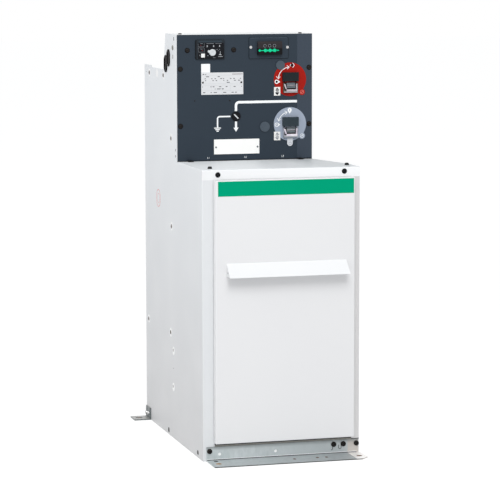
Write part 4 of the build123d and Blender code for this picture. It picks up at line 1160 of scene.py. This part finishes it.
FLANGE_HOLES = ((245, -44), (310, -44), (336, -44))
FLANGE_HOLE_SHADE_LEVEL = 2.05 * MM
FOOT_TOP = FOOT_SHEET * MM
FOOT_HOLES_Y = -50
FOOT_LIP = 87.9
WEB_HOLES = ((46.1, 19), (203.7, 19))
WEB_ENDS = (10.4, 435)
GAP_SHADE_ENDS = (33, 420)
HANDLE_HOLE_DEPTH = 14
BRACKET_BOLTS = ((660, 15), (636, 17))


def add_cover_band():
    band = span(38, 418.5, 721.5, 761.5)
    plate_piece("cover_band", GREEN_PRINT, on_cover(0, 0), band, 0.25, 0, "cover")


def add_foot_holes():
    """A hook and a cup cut in the web, and the slot and holes of the flange with their raw rims. The
    openings are black marks of painted shade, and pale discs behind the web's two holes paint the light seen
    through them.
    """
    hook = stroke([(366.2, 21.5), (366.2, 15), (364.6, 12.6), (361.6, 12.6)], 1.6)
    cup_line = [(383.4, 26), (383.4, 17), (385.4, 14.6), (388.6, 14.6), (390.6, 17), (390.6, 26)]
    cuts = all_on(on_front(0, 0, FOOT_SHEET), [hook, stroke(cup_line, 1.5)])
    prints_piece("foot_openings", PAINTED_SHADE_BLACK, cuts, 0.1)
    slot = [(on_top(32, -17, FOOT_TOP), rectangle(12, 12, 5.9))]
    prints_piece("foot_slot", PAINTED_SHADE_BLACK, slot, 0.1)
    hole_shades = [(place, circle(2.45, 24)) for place in spots(on_top, FLANGE_HOLES, FLANGE_HOLE_SHADE_LEVEL)]
    prints_piece("flange_hole_shades", PAINTED_SHADE_BLACK, hole_shades, 0.4)
    rims = [(place, oval(8, 13), oval(4.6, 5)) for place in spots(on_top, FLANGE_HOLES, FOOT_TOP)]
    frames_piece("flange_hole_rims", RAW_EDGE_AND_SHADE_BROWN, rims, 0.12)
    for name, x, shade in (("left", 31, CORK), ("right", 428, RAW_EDGE_AND_SHADE_BROWN)):
        rim = [(on_top(x, FOOT_HOLES_Y, 1.1 * MM), circle(7.9, 48), circle(4.2, 48))]
        frames_piece(f"foot_raw_edge_{name}", shade, rim, 1.3)
    hole_lights = [(place, circle(4.4, 32)) for place in spots(on_front, WEB_HOLES, 0.1)]
    prints_piece("web_hole_lights", PAINTED_LIGHT_WHITE, hole_lights, 0.3)


def add_foot_edges():
    """A dark line of painted shade in the crease between web and flange, a painted glint over it and the raw
    lip of the flange.
    """
    web = on_front(0, 0, FOOT_SHEET)
    prints_piece("foot_crease", CREASE, [(web, span(*WEB_ENDS, 2.5, 5))])
    prints_piece("foot_crease_glint", PAINTED_LIGHT_WHITE, [(web, span(*WEB_ENDS, 5, 6.2))])
    lip = [(on_front(0, 0, FOOT_LIP), span(10, 426, 0.2, 2.3))]
    prints_piece("foot_raw_lip", RAW_LIP, lip, 0.1)


def add_cover_gap_shadow():
    # Black bands of painted shadow in the gap under the cover and along the top of the foot's web at the
    # right, with a grey band of painted shade below the first.
    gap_shadow = [span(*GAP_SHADE_ENDS, 43.4, 51.5), span(420, 442.5, 39.8, 41.4)]
    prints_piece("cover_gap_shadow", PAINTED_SHADE_BLACK, all_on(on_front(0, 0), gap_shadow), 0.9)
    lower_shade = [(on_front(0, 0), span(*GAP_SHADE_ENDS, 39.6, 43.4))]
    prints_piece("cover_gap_shade", PALE_FIXING, lower_shade, 1)


def add_handle_hole():
    x, _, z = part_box("cover_handle")[0]
    end = basis((x + 0.3 * MM, COVER_FACE - HANDLE_HOLE_DEPTH * MM, z + 11 * MM), LEFTWARD)
    # The hole in the handle's end drawn as a black disc of painted shade.
    prints_piece("handle_end_hole", PAINTED_SHADE_BLACK, [(end, circle(2.4, 24))], 0.25, "cover")


def add_bracket_details():
    # A brown disc in the bracket's slot paints the shade seen through it.
    slot = [(on_top(-30, 642.5, 2.3 * MM), circle(5.3, 28))]
    prints_piece("bracket_slot_shade", RAW_EDGE_AND_SHADE_BROWN, slot, 0.3)
    fastener_piece("bracket_bolts", SILVER, spots(on_side, BRACKET_BOLTS, 3), 6, 4.2)


# Camera. Its place is measured from the left wall, the front plane and the floor, in mm

CAMERA_PLACE = (-1594.6, -6242.1, 1374.8)
FOCAL_PIXELS = 2425.2
IMAGE_PIXELS = 500
CENTRE_PIXELS = (244.50, 248.26)
CAMERA_YAW = 0.2677
CAMERA_PITCH = 0.1225
CAMERA_ROLL = -0.002
SENSOR_MM = 36


def add_camera():
    data = bpy.data.cameras.new("photo_camera")
    data.sensor_width = SENSOR_MM
    data.lens = FOCAL_PIXELS / IMAGE_PIXELS * SENSOR_MM
    data.shift_x = (IMAGE_PIXELS / 2 - CENTRE_PIXELS[0]) / IMAGE_PIXELS
    data.shift_y = (CENTRE_PIXELS[1] - IMAGE_PIXELS / 2) / IMAGE_PIXELS
    data.clip_end = 100
    camera = placed("photo_camera", data)
    level = math.cos(CAMERA_PITCH)
    forward = Vector((math.sin(CAMERA_YAW) * level, math.cos(CAMERA_YAW) * level, -math.sin(CAMERA_PITCH)))
    across = Vector((math.cos(CAMERA_YAW), -math.sin(CAMERA_YAW), 0))
    above = across.cross(forward)
    right = across * math.cos(CAMERA_ROLL) + above * math.sin(CAMERA_ROLL)
    up = above * math.cos(CAMERA_ROLL) - across * math.sin(CAMERA_ROLL)
    x, y, z = CAMERA_PLACE
    place = Matrix.Translation((LEFT + x * MM, FRONT + y * MM, z * MM))
    camera.matrix_world = place @ Matrix((right, up, -forward)).transposed().to_4x4()
    bpy.context.scene.camera = camera


# Lamps, sky and floor

# Name, place, target, size and power of each lamp
LAMPS = (
    ("key_lamp", (-0.7, -4.4, 4.4), (0, -0.2, 0.6), 3, 165),
    ("left_lamp", (-4.2, -1.2, 3.8), (0, 0, 0.8), 2.6, 36),
)
SKY_COLOUR = (0.97, 0.985, 1, 1)
SKY_LEVEL = 0.62
WHITE_LIGHT = (1, 1, 1, 1)
FLOOR_WIDTH = 60
FLOOR_HEIGHT = -0.0005
FLOOR_COLOUR = (0.86, 0.86, 0.86, 1)
FLOOR_GLOW = 0.7
GLOW_LEVEL = 1.2


def add_lamp(name, place, target, size, power):
    data = bpy.data.lights.new(name, "AREA")
    data.shape = "DISK"
    data.size = size
    data.energy = power
    lamp = placed(name, data)
    direction = Vector(target) - Vector(place)
    lamp.matrix_world = Matrix.Translation(place) @ direction.to_track_quat("-Z", "Y").to_matrix().to_4x4()


def backdrop_switch(tree):
    """1 where a ray comes from the camera, a mirror reflection or glass."""
    rays = add_node(tree, "LightPath").outputs
    either = add_math(tree, "MAXIMUM", rays["Is Camera Ray"], rays["Is Glossy Ray"])
    return add_math(tree, "MAXIMUM", either, rays["Is Transmission Ray"])


def mixed(tree, factor, first, second):
    """The shader of one node, going over to that of another."""
    sources = {0: factor, 1: first.outputs[0], 2: second.outputs[0]}
    return add_node(tree, "MixShader", {}, sources).outputs["Shader"]


def add_sky():
    """A soft even light that shows as plain white behind the cabinet."""
    world = bpy.data.worlds.new("studio")
    bpy.context.scene.world = world
    world.use_nodes = True
    tree = world.node_tree
    lit = tree.nodes["Background"]
    lit.inputs["Color"].default_value = SKY_COLOUR
    lit.inputs["Strength"].default_value = SKY_LEVEL
    seen = add_node(tree, "Background", {"Color": WHITE_LIGHT, "Strength": 1})
    shader = mixed(tree, backdrop_switch(tree), lit, seen)
    tree.links.new(shader, tree.nodes["World Output"].inputs["Surface"])


def floor_material():
    """Matt and pale, and mostly glowing white where it is seen."""
    material = bpy.data.materials.new("studio_floor")
    material.use_nodes = True
    tree = material.node_tree
    tree.nodes.clear()
    matt = add_node(tree, "BsdfDiffuse", {"Color": FLOOR_COLOUR})
    glow = add_node(tree, "Emission", {"Color": WHITE_LIGHT, "Strength": GLOW_LEVEL})
    share = add_node(tree, "Math", {1: FLOOR_GLOW}, {0: backdrop_switch(tree)})
    share.operation = "MULTIPLY"
    add_node(tree, "OutputMaterial", {}, {"Surface": mixed(tree, share.outputs["Value"], matt, glow)})
    return material


def add_floor():
    builder = bmesh.new()
    corners = rectangle(FLOOR_WIDTH, FLOOR_WIDTH)
    builder.faces.new([builder.verts.new((x, y, FLOOR_HEIGHT)) for x, y in corners])
    mesh = bpy.data.meshes.new("studio_floor")
    builder.to_mesh(mesh)
    builder.free()
    mesh.materials.append(floor_material())
    floor = placed("studio_floor", mesh)


dress_nodes()
add_cabinet_fasteners()
add_plate_fasteners()
add_mimic()
add_indicator_rim()
add_earth_marks()
add_switch_marks()
add_mode_marks()
add_badges()
add_hasp_details()
add_relay_frame()
add_relay_prints()
add_dial()
add_voltage_details()
add_nameplate_print()
add_fascia_trim()
add_grommets()
add_side_fixings()
add_side_openings()
add_cover_band()
add_foot_holes()
add_foot_edges()
add_cover_gap_shadow()
add_handle_hole()
add_bracket_details()
add_camera()
add_sky()
for lamp_settings in LAMPS:
    add_lamp(*lamp_settings)
add_floor()
bpy.context.scene.view_settings.view_transform = "Standard"
